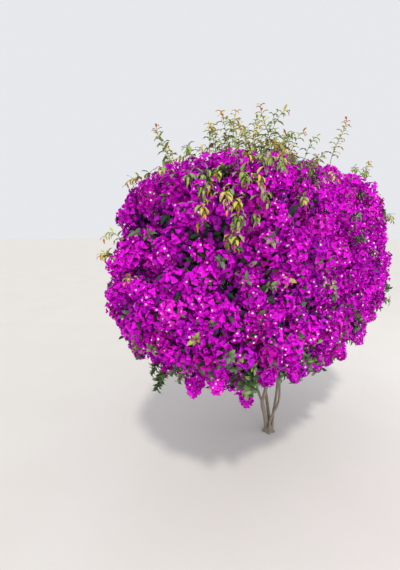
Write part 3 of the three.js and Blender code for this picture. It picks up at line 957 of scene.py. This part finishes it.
def trio(rise, fall, fold, spread, seed):
    """Three bracts round +Z, a third of a turn apart, each a little unlike the others."""
    roll = np.random.default_rng(seed)
    parts = []
    for k in range(3):
        size = roll.uniform(*BRACT_SIZES)
        tilt = roll.uniform(-spread, spread)
        leaf = blade(BRACT_LENGTH * size, BRACT_HALF_WIDTH * size, rise + tilt, fall + tilt, fold)
        parts.append((spun(leaf, 2 * np.pi * k / 3 + roll.uniform(-BRACT_SWING, BRACT_SWING)), BLADE_FACES))
    return joined(parts)


trios = [trio(*form, seed) for seed, form in enumerate(TRIO_FORMS, start=1)]
print("a trio has", len(trios[0][1]), "triangles")


# %% Copies of one shape
def frames(facing, angle):
    """Three axes for each copy: X and Y turned round the way that it faces, and Z along it."""
    x = turned(facing, angle)
    return np.stack([x, np.cross(facing, x), facing], axis=1)


def copies(shape, origins, axes, sizes):
    """One shape at many places: corner = origin + size (x X + y Y + z Z)."""
    places, faces = shape
    spots = np.einsum("vi,nij->nvj", places, axes) * sizes[:, None, None] + origins[:, None]
    return spots.reshape(-1, 3), repeated(faces, len(origins), len(places))


def spikes(bases, tips, radius):
    """Stalks of three faces: a triangle round each hidden base and one corner at each tip."""
    along = unit(tips - bases)
    across = across_of(along) * radius
    beside = np.cross(along, across)
    ring = [bases + across * math.cos(a) + beside * math.sin(a) for a in (0, 2 * np.pi / 3, 4 * np.pi / 3)]
    places = np.stack([*ring, tips], axis=1).reshape(-1, 3)
    return places, repeated(np.array([[0, 1, 3], [1, 2, 3], [2, 0, 3]]), len(bases), 4)


def shared_out(carriers, each):
    """For `each` things on each carrier: every thing's carrier, and its number there."""
    return np.repeat(carriers, each), np.tile(np.arange(each), len(carriers))


chance = np.random.default_rng(2024)


def any_way(count):
    """Directions evenly over a ball."""
    return ball_direction(chance.random(count), chance.random(count))


# %% [markdown]
# ## Sprays of blossom
# The trios crowd at the end of a twig in a rounded spray as wide as a fist. A
# golden-angle spiral over a dome places them evenly. Each faces out of its dome
# with some disorder. One spray in thirty bears leaves and no blossom, and more
# low down, where the light is weak. They come in patches, because sprays side
# by side share a main twig, and they reach a little beyond the blossom. Bracts
# deepen and then bleach with age, and a whole spray ages together, so each
# spray is dealt one tint.

# %% Which sprays flower
GREEN_SHARE = 0.035
LOW_GREEN = 0.42
LOW_BAND = 760
GREEN_REACH = 26
PATCHINESS = 0.9

spray_count = len(spray_tips)
low = np.clip((CROWN_FOOT + LOW_BAND - spray_tips[:, 2]) / LOW_BAND, 0, 1)
x, y, z = (spray_tips * METRES).T
patch_wave = np.sin(11 * x + 2 * y) * np.sin(9 * z + 5 * y + 1)
is_green = chance.random(spray_count) < (GREEN_SHARE + LOW_GREEN * low) * (1 + PATCHINESS * patch_wave)
is_green[-len(hanging) * len(on_rim) :] = np.tile(is_green[on_rim], len(hanging))
flowering = np.flatnonzero(~is_green)
longer = GREEN_REACH * np.linspace(0, 1, SIDE_TWIG_RINGS)[:, None] ** 2
spray_twigs += (sprays["facing"] * is_green[:, None])[:, None] * longer

# %% Trios on their domes
TRIOS = 28
DOME_RADIUS = 47
DOME_EDGE = 2.35
DOME_UNEVENNESS = (0.72, 1.12)
TRIO_DISORDER = 0.42
TRIO_SIZES = (0.82, 1.15)
STALK_FEET = (-0.5, 0.6)  # from the dome's hub towards the twig's tip, or away from it

spray_of, j = shared_out(flowering, TRIOS)
polar = np.arccos(1 - (j + 0.4) / TRIOS * (1 - math.cos(DOME_EDGE)))
axis = sprays["facing"][spray_of]
aside = turned(axis, j * GOLDEN_ANGLE + sprays["turn"][spray_of])
out_of_dome = axis * np.cos(polar)[:, None] + aside * np.sin(polar)[:, None]
size = sprays["size"][spray_of]
hub = spray_tips[spray_of] - axis * (DOME_RADIUS * size)[:, None]
reach_out = DOME_RADIUS * size * chance.uniform(*DOME_UNEVENNESS, len(j))
trio_places = hub + out_of_dome * reach_out[:, None]
trio_facing = unit(out_of_dome + any_way(len(j)) * TRIO_DISORDER)
trio_turn = chance.uniform(0, 2 * np.pi, len(j))
trio_size = chance.uniform(*TRIO_SIZES, len(j))
trio_kind = chance.integers(0, len(trios), len(j))
stalk_foot = mix(hub, spray_tips[spray_of], chance.uniform(*STALK_FEET, len(j))[:, None])
print("flowering sprays", len(flowering), "trios", len(j))

# %% [markdown]
# Bracts are thin and dry, with a soft matt face and hardly any gloss. They take
# their magenta from betalain, a pigment that reflects red and blue and swallows
# green. Six tints run from fresh magenta through deep purple to a bleached
# pink. Each is one plain colour, because at this distance a bract is a few
# pixels wide, and its fold gives it the light and dark side that the eye reads.

# %% Bract tints and pieces
BRACT_TINTS = {
    "papery_bract_magenta": "#DA0AD5",
    "papery_bract_bright": "#E20EDB",
    "papery_bract_deep": "#CC08C9",
    "papery_bract_purple": "#C20ACA",
    "papery_bract_wine": "#B808A4",
    "papery_bract_bleached": "#E424D6",
}
BRACT_SHARES = np.array([0.30, 0.22, 0.22, 0.07, 0.07, 0.08])
BRACT_ROUGHNESS = 0.62
PLANT_IOR = 1.4
PIECES = 6


def skins(tints, roughness, gloss=0.25):
    """Plain colours with the soft gloss of a plant's skin, one for each name and sRGB value."""
    made = []
    for name, code in tints.items():
        material, tree, shader = new_material(name)
        feed(tree, shader, {"Base Color": colour(code), "Roughness": roughness})
        feed(tree, shader, {"IOR": PLANT_IOR, "Specular IOR Level": gloss})
        made.append(material)
    return made


bract_materials = skins(BRACT_TINTS, BRACT_ROUGHNESS)
spray_tint = chance.choice(len(BRACT_TINTS), spray_count, p=BRACT_SHARES / BRACT_SHARES.sum())

for part in range(PIECES):
    own = range(part, MASSES, PIECES)
    grown, tints = [], []
    for kind, shape in enumerate(trios):
        chosen = np.flatnonzero(np.isin(sprays["owner"][spray_of], own) & (trio_kind == kind))
        axes = frames(trio_facing[chosen], trio_turn[chosen])
        grown.append(copies(shape, trio_places[chosen], axes, trio_size[chosen]))
        tints.append(np.repeat(spray_tint[spray_of[chosen]], len(shape[1])))
    tints = np.concatenate(tints)
    piece = into_mesh(f"bracts_{part + 1}", *joined(grown), bract_materials, tints, smooth=False)
    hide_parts(*[f"blossom_mass_{m + 1}" for m in own])

# %% [markdown]
# ## The true flowers
# Each bract carries one small cream flower on a thin tube that the bracts hide:
# a star of five lobes, about a centimetre across. Only some are open at a time,
# more on one spray than on the next. They are the white points all over the
# crown, and the five lobes are all that shows of them. They are soft and pale,
# and nearly matt.

# %% Florets
OPEN_SHARES = [0.07, 0.22, 0.52]
OPEN_EDGE = 1.4
FLORET_RADIUS = 6.4
FLORET_NOTCH = 0.45
FLORET_HEIGHT = 16
FLORET_THROAT = 2
FLORET_LEAN = 0.35
FLORET_SIZES = (0.8, 1.15)


def floret():
    """A star of ten faces round +Z: five lobes, whose middle dips to the throat of the flower's tube."""
    k = np.arange(10)
    angle = np.pi * k / 5
    long = np.where(k % 2 == 0, FLORET_RADIUS, FLORET_NOTCH * FLORET_RADIUS)
    rim = np.stack([long * np.cos(angle), long * np.sin(angle), 0 * angle + FLORET_HEIGHT], axis=-1)
    places = np.vstack([[[0, 0, FLORET_HEIGHT - FLORET_THROAT]], rim])
    return places, np.stack([0 * k, 1 + k, 1 + (k + 1) % 10], axis=-1)


open_share = chance.choice(OPEN_SHARES, spray_count)[spray_of]
open_trios = np.flatnonzero((chance.random(len(j)) < open_share) & (polar < OPEN_EDGE))
floret_facing = unit(trio_facing[open_trios] + FLORET_LEAN * any_way(len(open_trios)))
floret_axes = frames(floret_facing, trio_turn[open_trios])
floret_sizes = chance.uniform(*FLORET_SIZES, len(open_trios))
stars = copies(floret(), trio_places[open_trios], floret_axes, floret_sizes)
florets = into_mesh("florets", *stars, skins({"cream_floret": "#FFF3E2"}, 0.5))

# %% [markdown]
# ## Leaves
# The leaves are thin, oval and pointed, 40 to 65 mm long, alternate on the
# twigs, and hang a little from their stalks. Most sit just under the blossom
# and show between the sprays. Old ones are dark, and young ones are yellow
# green. Their waxy skin shines more than a bract does, so it gets a lower
# roughness and twice the gloss. Some twigs grow on through their blossom and
# end in a tuft of leaves, most of them low down.

# %% Leaf shapes and tints
LEAF_TINTS = {
    "leaf_old_green": "#405C3C",
    "leaf_green": "#5A774E",
    "leaf_light_green": "#7E9456",
    "leaf_yellow_green": "#A6A854",
}
LEAF_SHARES = np.array([0.40, 0.36, 0.17, 0.07])
LEAFY_SHARES = np.array([0.20, 0.45, 0.25, 0.10])
LEAF_ROUGHNESS = 0.40
LEAF_GLOSS = 0.5
leaf_materials = skins(LEAF_TINTS, LEAF_ROUGHNESS, LEAF_GLOSS)
leaf_shapes = blades((58, 13.5, 0.25, -0.6, 0.45), (52, 14.5, 0.4, -0.35, 0.55), (62, 12.5, 0.15, -1.0, 0.35))


def leaf_axes(along, face):
    """Axes for leaves that run along one way and turn their face another: X is along x face."""
    x = unit(np.cross(along, face))
    return np.stack([x, along, np.cross(x, along)], axis=1)


def grow_leaves(shapes, roots, along, face, sizes, kinds):
    """Copies of a few leaf shapes, with the leaf number of each triangle."""
    grown, numbers = [], []
    for kind, shape in enumerate(shapes):
        chosen = np.flatnonzero(kinds == kind)
        grown.append(copies(shape, roots[chosen], leaf_axes(along[chosen], face[chosen]), sizes[chosen]))
        numbers.append(np.repeat(chosen, len(BLADE_FACES)))
    return joined(grown), np.concatenate(numbers)


def on_curves(curves, t):
    """The point at share t of each curve's own points, by straight steps between them."""
    place = np.clip(t, 0, 0.9999) * (curves.shape[1] - 1)
    before = place.astype(int)
    row = np.arange(len(curves))
    return mix(curves[row, before], curves[row, before + 1], (place - before)[:, None])


# %% Leaves of the sprays
LEAVES = 3
TUFT_LEAVES = 9
GREEN_LEAVES = 20
TUFT_SHARE = 0.10
LOW_TUFTS = 0.35
LEAF_SIZES = (0.7, 1.05)
LEAFY_SIZE = 0.85
LEAF_AHEAD = 0.6
LEAF_DISORDER = 0.3
LEAF_HANG = 0.15
LEAF_LIFT = 0.5
SAME_TINT = 0.55  # share of the leaves that have their spray's tint

has_tuft = ~is_green & (chance.random(spray_count) < TUFT_SHARE + LOW_TUFTS * low)
leafy = is_green | has_tuft
leaf_count = np.select([is_green, has_tuft], [GREEN_LEAVES, TUFT_LEAVES], LEAVES)
first_leaf = np.select([is_green, has_tuft], [0.45, 0.86], 0.40)
last_leaf = np.where(leafy, 1.0, 0.88)
leaf_spray = np.repeat(np.arange(spray_count), leaf_count)
number = np.concatenate([np.arange(count) for count in leaf_count])
along_twig = mix(first_leaf[leaf_spray], last_leaf[leaf_spray], number / leaf_count[leaf_spray])
leaf_roots = on_curves(spray_twigs[leaf_spray], along_twig)
leaf_axis = sprays["facing"][leaf_spray]
leaf_aside = turned(leaf_axis, number * GOLDEN_ANGLE + sprays["turn"][leaf_spray])
jitter = any_way(len(leaf_spray))
leaf_along = unit(leaf_aside + leaf_axis * LEAF_AHEAD + jitter * LEAF_DISORDER - UP * LEAF_HANG)
leaf_face = unit(leaf_axis + UP * LEAF_LIFT + jitter * LEAF_DISORDER)
leaf_sizes = chance.uniform(*LEAF_SIZES, len(leaf_spray)) * np.where(leafy[leaf_spray], LEAFY_SIZE, 1.0)
leaf_kinds = chance.integers(0, len(leaf_shapes), len(leaf_spray))
leaves, leaf_number = grow_leaves(leaf_shapes, leaf_roots, leaf_along, leaf_face, leaf_sizes, leaf_kinds)


def dealt_green(shares, count):
    """The numbers of leaf tints, dealt out by their shares."""
    return chance.choice(len(LEAF_TINTS), count, p=shares / shares.sum())


tint_of_spray = np.where(leafy, dealt_green(LEAFY_SHARES, spray_count), dealt_green(LEAF_SHARES, spray_count))
own_tint = dealt_green(LEAF_SHARES, len(leaf_spray))
leaf_tint = np.where(chance.random(len(leaf_spray)) < SAME_TINT, tint_of_spray[leaf_spray], own_tint)
outer_leaves = into_mesh("leaves", *leaves, leaf_materials, leaf_tint[leaf_number])

# %% [markdown]
# Behind the flowering sprays lies an older layer of shaded leaves and last
# month's bracts. Their dark greens and dark wines are painted shade: the
# shadow deep inside the crown, put into their colours. A third throw of the
# darts places the layer a hand's breadth under the surface, in rosettes that
# overlap. A fourth places larger leaves, in the same painted shade, as deep as
# light still reaches, which stand for the many that no one sees singly. So the
# crown is as closed to the eye as the real one, and its hollows are as dark.
# Old leaves and bracts have lost their gloss.

# %% The shaded layers
SHADED_SINK = 78
SHADED_FOLLOW = 0.5  # share of a spray's own extra depth in the seams
ROSETTE = 33
ROSETTE_EYE = 5
ROSETTE_REACH = 62
ROSETTE_SIZE = 1.1
ROSETTE_SPREAD = (0.7, 1.0)
ROSETTE_JITTER = 18
INNER_SINK = 190
INNER_ROSETTE = 13
INNER_REACH = 70
INNER_SIZE = 1.5
OLD_BRACT_SHARE = 0.76
old_bract_shapes = blades((37, 14, 0.5, -0.5, 0.50), (33, 14, 0.9, -0.1, 0.65), (35, 15, 0.3, -0.9, 0.40))


def rosettes(spots, sink, count, reach, biggest):
    """Blades round each spot, under the surface by its sink: roots, ways, faces, sizes and kinds.

    Blade n stands at the golden angle times n, ROSETTE_EYE + reach sqrt(n / count) from the middle.
    """
    middle = within_reach(spots, spots["place"] - spots["facing"] * sink[:, None])
    spot, n = shared_out(np.arange(len(middle)), count)
    axis = spots["facing"][spot]
    aside = turned(axis, n * GOLDEN_ANGLE + spots["turn"][spot])
    disorder = any_way(len(n))
    away = (ROSETTE_EYE + reach * np.sqrt(n / count))[:, None]
    sizes = biggest * chance.uniform(*ROSETTE_SPREAD, len(n))
    kinds = chance.integers(0, len(leaf_shapes), len(n))
    roots = middle[spot] + aside * away + disorder * ROSETTE_JITTER
    return [roots, unit(aside + disorder * 0.5), unit(axis + disorder * 0.45), sizes, kinds]


def shaded_piece(name, shapes, spread, materials):
    """Blades of the shaded layers as one piece, their tints dealt out in turn."""
    grown, number = grow_leaves(shapes, *spread)
    into_mesh(name, *grown, materials, number % len(materials))


shaded = scatter(spacing=88, darts=30000, seed=101, sink=110, tilt=0.3)
shaded_sink = shaded["sink"] + SHADED_SINK + SHADED_FOLLOW * billow_sink(shaded)
outer_blades = rosettes(shaded, shaded_sink, ROSETTE, ROSETTE_REACH, ROSETTE_SIZE)
inner = scatter(spacing=118, darts=20000, seed=131, sink=60, tilt=0.3)
inner_blades = rosettes(inner, inner["sink"] + INNER_SINK, INNER_ROSETTE, INNER_REACH, INNER_SIZE)
is_bract = chance.random(len(outer_blades[0])) < OLD_BRACT_SHARE
dark_leaves = [np.concatenate([a[~is_bract], b]) for a, b in zip(outer_blades, inner_blades)]
dark_bracts = [values[is_bract] for values in outer_blades]

# Painted shade: these dark greens and dark wines are the shadow deep in the crown, painted into the colours
# of the leaves and bracts.
shaded_greens = skins({"leaf_shaded": "#2F4430", "leaf_shaded_dark": "#22342C"}, 0.55)
old_bracts_painted_shade = skins({"old_bract_painted_shade": "#9E0AA2", "old_bract_painted_deep_shade": "#6C087E"}, 0.7)
shaded_piece("shaded_leaves", leaf_shapes, dark_leaves, shaded_greens)
shaded_piece("old_bracts_painted_shade", old_bract_shapes, dark_bracts, old_bracts_painted_shade)

# %% [markdown]
# ## Young shoots
# The newest growth stands clear of the crown: slender canes that arch over at
# the tip, green to reddish, with narrow, soft, yellow-green leaves that fold and
# droop. The five tallest are the source's own. Others rise from the sprays on
# the crown's top, and more arch out of its shoulders, mostly in a few tufts. The
# fullest tuft spills over the front corner at the crown's left end.

# %% Shoot curves
TOP_SHOOTS = 74
SIDE_SHOOTS = 64
SPILL_SHOOTS = 22
SPILL = np.array([-950, -400, 1800])
SPILL_STRETCH = np.array([1, 1, 0.6])
SPILL_SPANS = (50, 120)
TOP_SPANS = (90, 220)
SIDE_SPANS = (60, 140)
TOP_FACING = 0.75
SHOULDER_FACING = 0.5
SHOOT_RINGS = 12
SHOOT_HIDDEN = 50
SHOOT_OUT = 55
SHOOT_WANDER = 0.6
SHOOT_BEND = 0.35
TALL_DICE = 5003
TALL_RISES = (0.6, 1)
TALL_EXTRA = 90
TALL_LEAN = 0.35
TALL_TIP = 2
GAP = 0.35


def tall_shoot(cane, k):
    """The source's own curve: it goes on from the cane, rises to its height and leans over."""
    roll = dice(TALL_DICE + k)
    along = cane.tangent(1)
    start = cane.point(1) + along * GAP
    height = CANE_RISE * mix(*TALL_RISES, next(roll)) + TALL_EXTRA
    lean = radial(UP, 2 * np.pi * next(roll))
    end = start + UP * height + lean * TALL_LEAN * height
    return Limb(start, start + along * 0.5 * height, end - UP * 0.3 * height, end, CANE_TIP, TALL_TIP, 0, 0)


def tufted(candidates, count):
    """Sprays that bear shoots, mostly where two slow waves over the crown are high.

    The waves are cos(4.4 (x + 0.45)) - 0.3 x + 0.6 cos(3.5 (y + 0.2)), with x and y in metres.
    """
    x, y, _ = (spray_tips[candidates] * METRES).T
    waves = np.cos(4.4 * (x + 0.45)) - 0.3 * x + 0.6 * np.cos(3.5 * (y + 0.2))
    favour = waves + chance.uniform(-0.7, 0.7, len(x))
    return candidates[np.argsort(-favour)[:count]]


def arching(bearers, rise, out, drop):
    """Curves that leave each spray along its facing, climb by rise, lean out by out and end drop lower."""
    facing = sprays["facing"][bearers]
    start = spray_tips[bearers] - facing * SHOOT_HIDDEN
    wander = turned(np.tile(UP, (len(bearers), 1)), chance.uniform(0, 2 * np.pi, len(bearers)))
    way = unit(facing * [1, 1, 0] + wander * SHOOT_WANDER) * out[:, None]
    bend = start + facing * SHOOT_OUT + UP * rise[:, None] + way * SHOOT_BEND
    return arcs(start, bend, start + UP * (rise - drop)[:, None] + way + facing * SHOOT_OUT, SHOOT_RINGS)


tall = np.array([tall_shoot(cane, k).point(np.linspace(0, 1, SHOOT_RINGS)) for k, cane in enumerate(canes)])
up_share = sprays["facing"][:, 2]
spill_way = np.linalg.norm((spray_tips - SPILL) * SPILL_STRETCH, axis=1)
spill_bearers = np.argsort(spill_way)[:SPILL_SHOOTS]
spans = chance.uniform(*SPILL_SPANS, SPILL_SHOOTS)
spill_shoots = arching(spill_bearers, rise=spans, out=0.35 * spans, drop=1.2 * spans)
top_bearers = tufted(np.flatnonzero(up_share > TOP_FACING), TOP_SHOOTS)
spans = chance.uniform(*TOP_SPANS, len(top_bearers)) * np.linspace(1.1, 0.75, len(top_bearers))
top_shoots = arching(top_bearers, rise=spans, out=0.45 * spans, drop=0 * spans)
on_shoulders = (up_share > SHOULDER_FACING) & (up_share <= TOP_FACING)
side_bearers = tufted(np.flatnonzero(on_shoulders), SIDE_SHOOTS)
spans = chance.uniform(*SIDE_SPANS, len(side_bearers))
side_shoots = arching(side_bearers, rise=spans, out=0.6 * spans, drop=0.7 * spans)
short = np.concatenate([top_shoots, side_shoots, spill_shoots])
print("shoots", len(tall), "tall,", len(top_shoots), "on top,", len(short) - len(top_shoots), "lower down")

# %% Shoot leaves
TALL_LEAVES = 24
SHORT_LEAVES = 12
FIRST_SHARE = 0.22
LAST_SHARE = 0.99
LOOK_AHEAD = 0.05
YOUNG_STEPS = [0.7, 1.25]
AMBER_FROM = 0.85
AMBER_SHOOTS = 0.45
YOUNG_TINTS = {
    "young_leaf_grey_green": "#869A6A",
    "young_leaf_green": "#96AE54",
    "young_leaf_yellow": "#C8C656",
}
shoot_shapes = blades((80, 13, 0.30, -1.2, 0.35), (72, 12, 0.50, -1.5, 0.40), (76, 14, 0.20, -0.8, 0.25))


def shoot_leaves(curves, count, biggest, smallest):
    """Alternate leaves on arching curves, smaller to the tip.

    Gives their roots, ways, faces, sizes, shares of the way along, and shoots.
    """
    shoot, n = shared_out(np.arange(len(curves)), count)
    t = mix(FIRST_SHARE, LAST_SHARE, n / (count - 1))
    roots = on_curves(curves[shoot], t)
    next_place = on_curves(curves[shoot], np.minimum(t + LOOK_AHEAD, 1))
    ahead = unit(next_place - on_curves(curves[shoot], t - LOOK_AHEAD))
    aside = turned(ahead, n * GOLDEN_ANGLE + shoot)
    along = unit(aside + ahead * mix(0.3, 1.0, t)[:, None] - UP * 0.25)
    return roots, along, unit(UP + ahead * 0.3), mix(biggest, smallest, t), t, shoot


tall_parts = shoot_leaves(tall, TALL_LEAVES, biggest=1.1, smallest=0.5)
short_parts = shoot_leaves(short, SHORT_LEAVES, biggest=0.95, smallest=0.42)
*leaf_parts, share, shoot = [np.concatenate(pair) for pair in zip(tall_parts, short_parts)]
shoot_kinds = chance.integers(0, len(shoot_shapes), len(shoot))
grown, shoot_number = grow_leaves(shoot_shapes, *leaf_parts, shoot_kinds)

# Leaves grow yellower to the tip, and sooner on some shoots: shoot n is ahead by (1 + sin(13 n)) / 2,
# or nearly so. The tips of the most forward shoots are amber.
forward = np.sin(shoot * 12.9898) * 0.5 + 0.5
leaf_age = np.searchsorted(YOUNG_STEPS, share + forward)
leaf_age = np.where((share > AMBER_FROM) & (forward > AMBER_SHOOTS), len(YOUNG_TINTS), leaf_age)
young = skins(YOUNG_TINTS, 0.42) + skins({"young_leaf_amber": "#CC8A40"}, 0.45)
young_leaves = into_mesh("young_leaves", *grown, young, leaf_age[shoot_number])
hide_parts(*[name for name in nodes if name.startswith("leafy_shoot_")])

# %% [markdown]
# Last year's twigs have a thin brown bark with hardly any gloss. This year's
# stalks and shoots are still green, and a little smoother. Most stalks are
# hidden in their spray, so one in five is made.

# %% Twigs and stalks as pieces
STALKS_KEPT = 5
STALK_RADIUS = 1.1
TALL_RADII = (3.2, 1.2)
SHORT_RADII = (2.0, 0.9)

woody = [
    twig_tubes(mass_stems, MASS_STEM_RADIUS, MAIN_TWIG_RADIUS),
    twig_tubes(main_twigs, MAIN_TWIG_RADIUS, SIDE_TWIG_RADIUS),
    twig_tubes(spray_twigs, SIDE_TWIG_RADIUS, FINE_TWIG_RADIUS),
]
twigs = into_mesh("twigs", *joined(woody), skins({"young_twig_bark": "#6F5A3E"}, 0.7))

stalks = [
    spikes(stalk_foot[::STALKS_KEPT], trio_places[::STALKS_KEPT], STALK_RADIUS),
    twig_tubes(tall, *TALL_RADII),
    twig_tubes(short, *SHORT_RADII),
]
green_stalks = into_mesh("stalks_and_shoots", *joined(stalks), skins({"green_twig_bark": "#7E8C3F"}, 0.55))

# %% [markdown]
# ## The studio
# The plant stands on a plain pale floor under soft light: a sun high on the
# left in front, two broad weak lamps that fill the shadows from the front and
# the right, and a pale sky. The floor is matt screed, so it shows a soft shadow
# and no reflection.

# %% Floor and sky
FLOOR_HALF = 80
SCREED_MOTTLE = 667


def floor():
    """A square of pale matt screed, level with the cut under the stems."""
    corners = np.array([[-1, -1, 0], [1, -1, 0], [1, 1, 0], [-1, 1, 0]]) * FLOOR_HALF
    mesh = bpy.data.meshes.new("floor")
    mesh.from_pydata(corners.tolist(), [], [(0, 1, 2, 3)])
    material, tree, shader = new_material("pale_screed")
    place = add_node(tree, "ShaderNodeTexCoord").outputs["Object"]
    mottle = add_node(
        tree, "ShaderNodeTexNoise", inputs={"Vector": place, "Scale": per_metre(SCREED_MOTTLE), "Detail": 4.0}
    )
    shade = add_node(tree, "ShaderNodeValToRGB", inputs={"Fac": mottle.outputs["Fac"]})
    shade.color_ramp.elements[0].color = colour("#D3D0CB")
    shade.color_ramp.elements[1].color = colour("#DAD8D4")
    feed(tree, shader, {"Base Color": shade.outputs["Color"], "Roughness": 0.9})
    mesh.materials.append(material)
    piece = bpy.data.objects.new("floor", mesh)
    bpy.context.scene.collection.objects.link(piece)
    piece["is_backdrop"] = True


def sky(strength):
    """An even pale sky."""
    world = bpy.data.worlds.new("pale_sky")
    world.use_nodes = True
    looks = {"Color": colour("#F4F6FA"), "Strength": strength}
    feed(world.node_tree, world.node_tree.nodes["Background"], looks)
    bpy.context.scene.world = world


floor()
sky(strength=0.88)


# %% Lamps
PLANT_MIDDLE = (-0.06, 0, 1.2)


def stand(name, device, place, way):
    """A lamp or a camera in the scene, looking along a way."""
    holder = bpy.data.objects.new(name, device)
    holder.location = place
    holder.rotation_euler = Vector(way).to_track_quat("-Z", "Y").to_euler()
    bpy.context.scene.collection.objects.link(holder)
    return holder


def fill(name, place, size, watts, code):
    """A square area lamp that faces the plant."""
    light = bpy.data.lights.new(name, "AREA")
    light.shape, light.size, light.energy = "SQUARE", size, watts
    light.color = colour(code)[:3]
    stand(name, light, place, Vector(PLANT_MIDDLE) - Vector(place))


def sun(way, strength, angle, code):
    """A lamp so far off that its light is even, as wide in the sky as an angle in degrees."""
    light = bpy.data.lights.new("key", "SUN")
    light.energy, light.angle = strength, math.radians(angle)
    light.color = colour(code)[:3]
    stand("key", light, (0, 0, 0), way)


sun(way=(0.42, 0.50, -1.0), strength=1.5, angle=6, code="#FFF9F0")
fill("fill_right", place=(3.4, -3.4, 2.4), size=3.0, watts=40, code="#F3F6FF")
fill("fill_front", place=(-1.6, -4.4, 1.9), size=3.0, watts=50, code="#FFF6FA")

# %% [markdown]
# The camera stands where the photo was taken from, at eye height beside the
# crown's left end, with a wide lens that looks along it and a little down.

# %% Camera
EYE = (-1.935, -1.370, 1.600)
LOOK_TURN = math.radians(41.0)
LOOK_DOWN = math.radians(9.7)
LENS = 19.58
SENSOR_WIDTH = 36
NEAREST = 0.02

flat_look = math.cos(LOOK_DOWN)
ahead = (math.sin(LOOK_TURN) * flat_look, math.cos(LOOK_TURN) * flat_look, -math.sin(LOOK_DOWN))
camera = bpy.data.cameras.new("camera")
camera.lens = LENS
camera.sensor_width = SENSOR_WIDTH
camera.sensor_fit = "AUTO"
camera.clip_start = NEAREST
bpy.context.scene.camera = stand("camera", camera, EYE, ahead)
bpy.context.scene.view_settings.view_transform = "Standard"
print("camera at", EYE, "with a lens of", LENS, "mm")

# %% [markdown]
# ## Sizes
# Both boxes, the solids' and the visual plant's, are printed.

# %% Boxes and finish
own_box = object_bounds()
boxes = {
    "cad": [[float(x) for x in corner] for corner in cad_box],
    "visual": [[float(x) for x in corner] for corner in own_box],
}
print("cad box", boxes["cad"])
print("visual box", boxes["visual"])
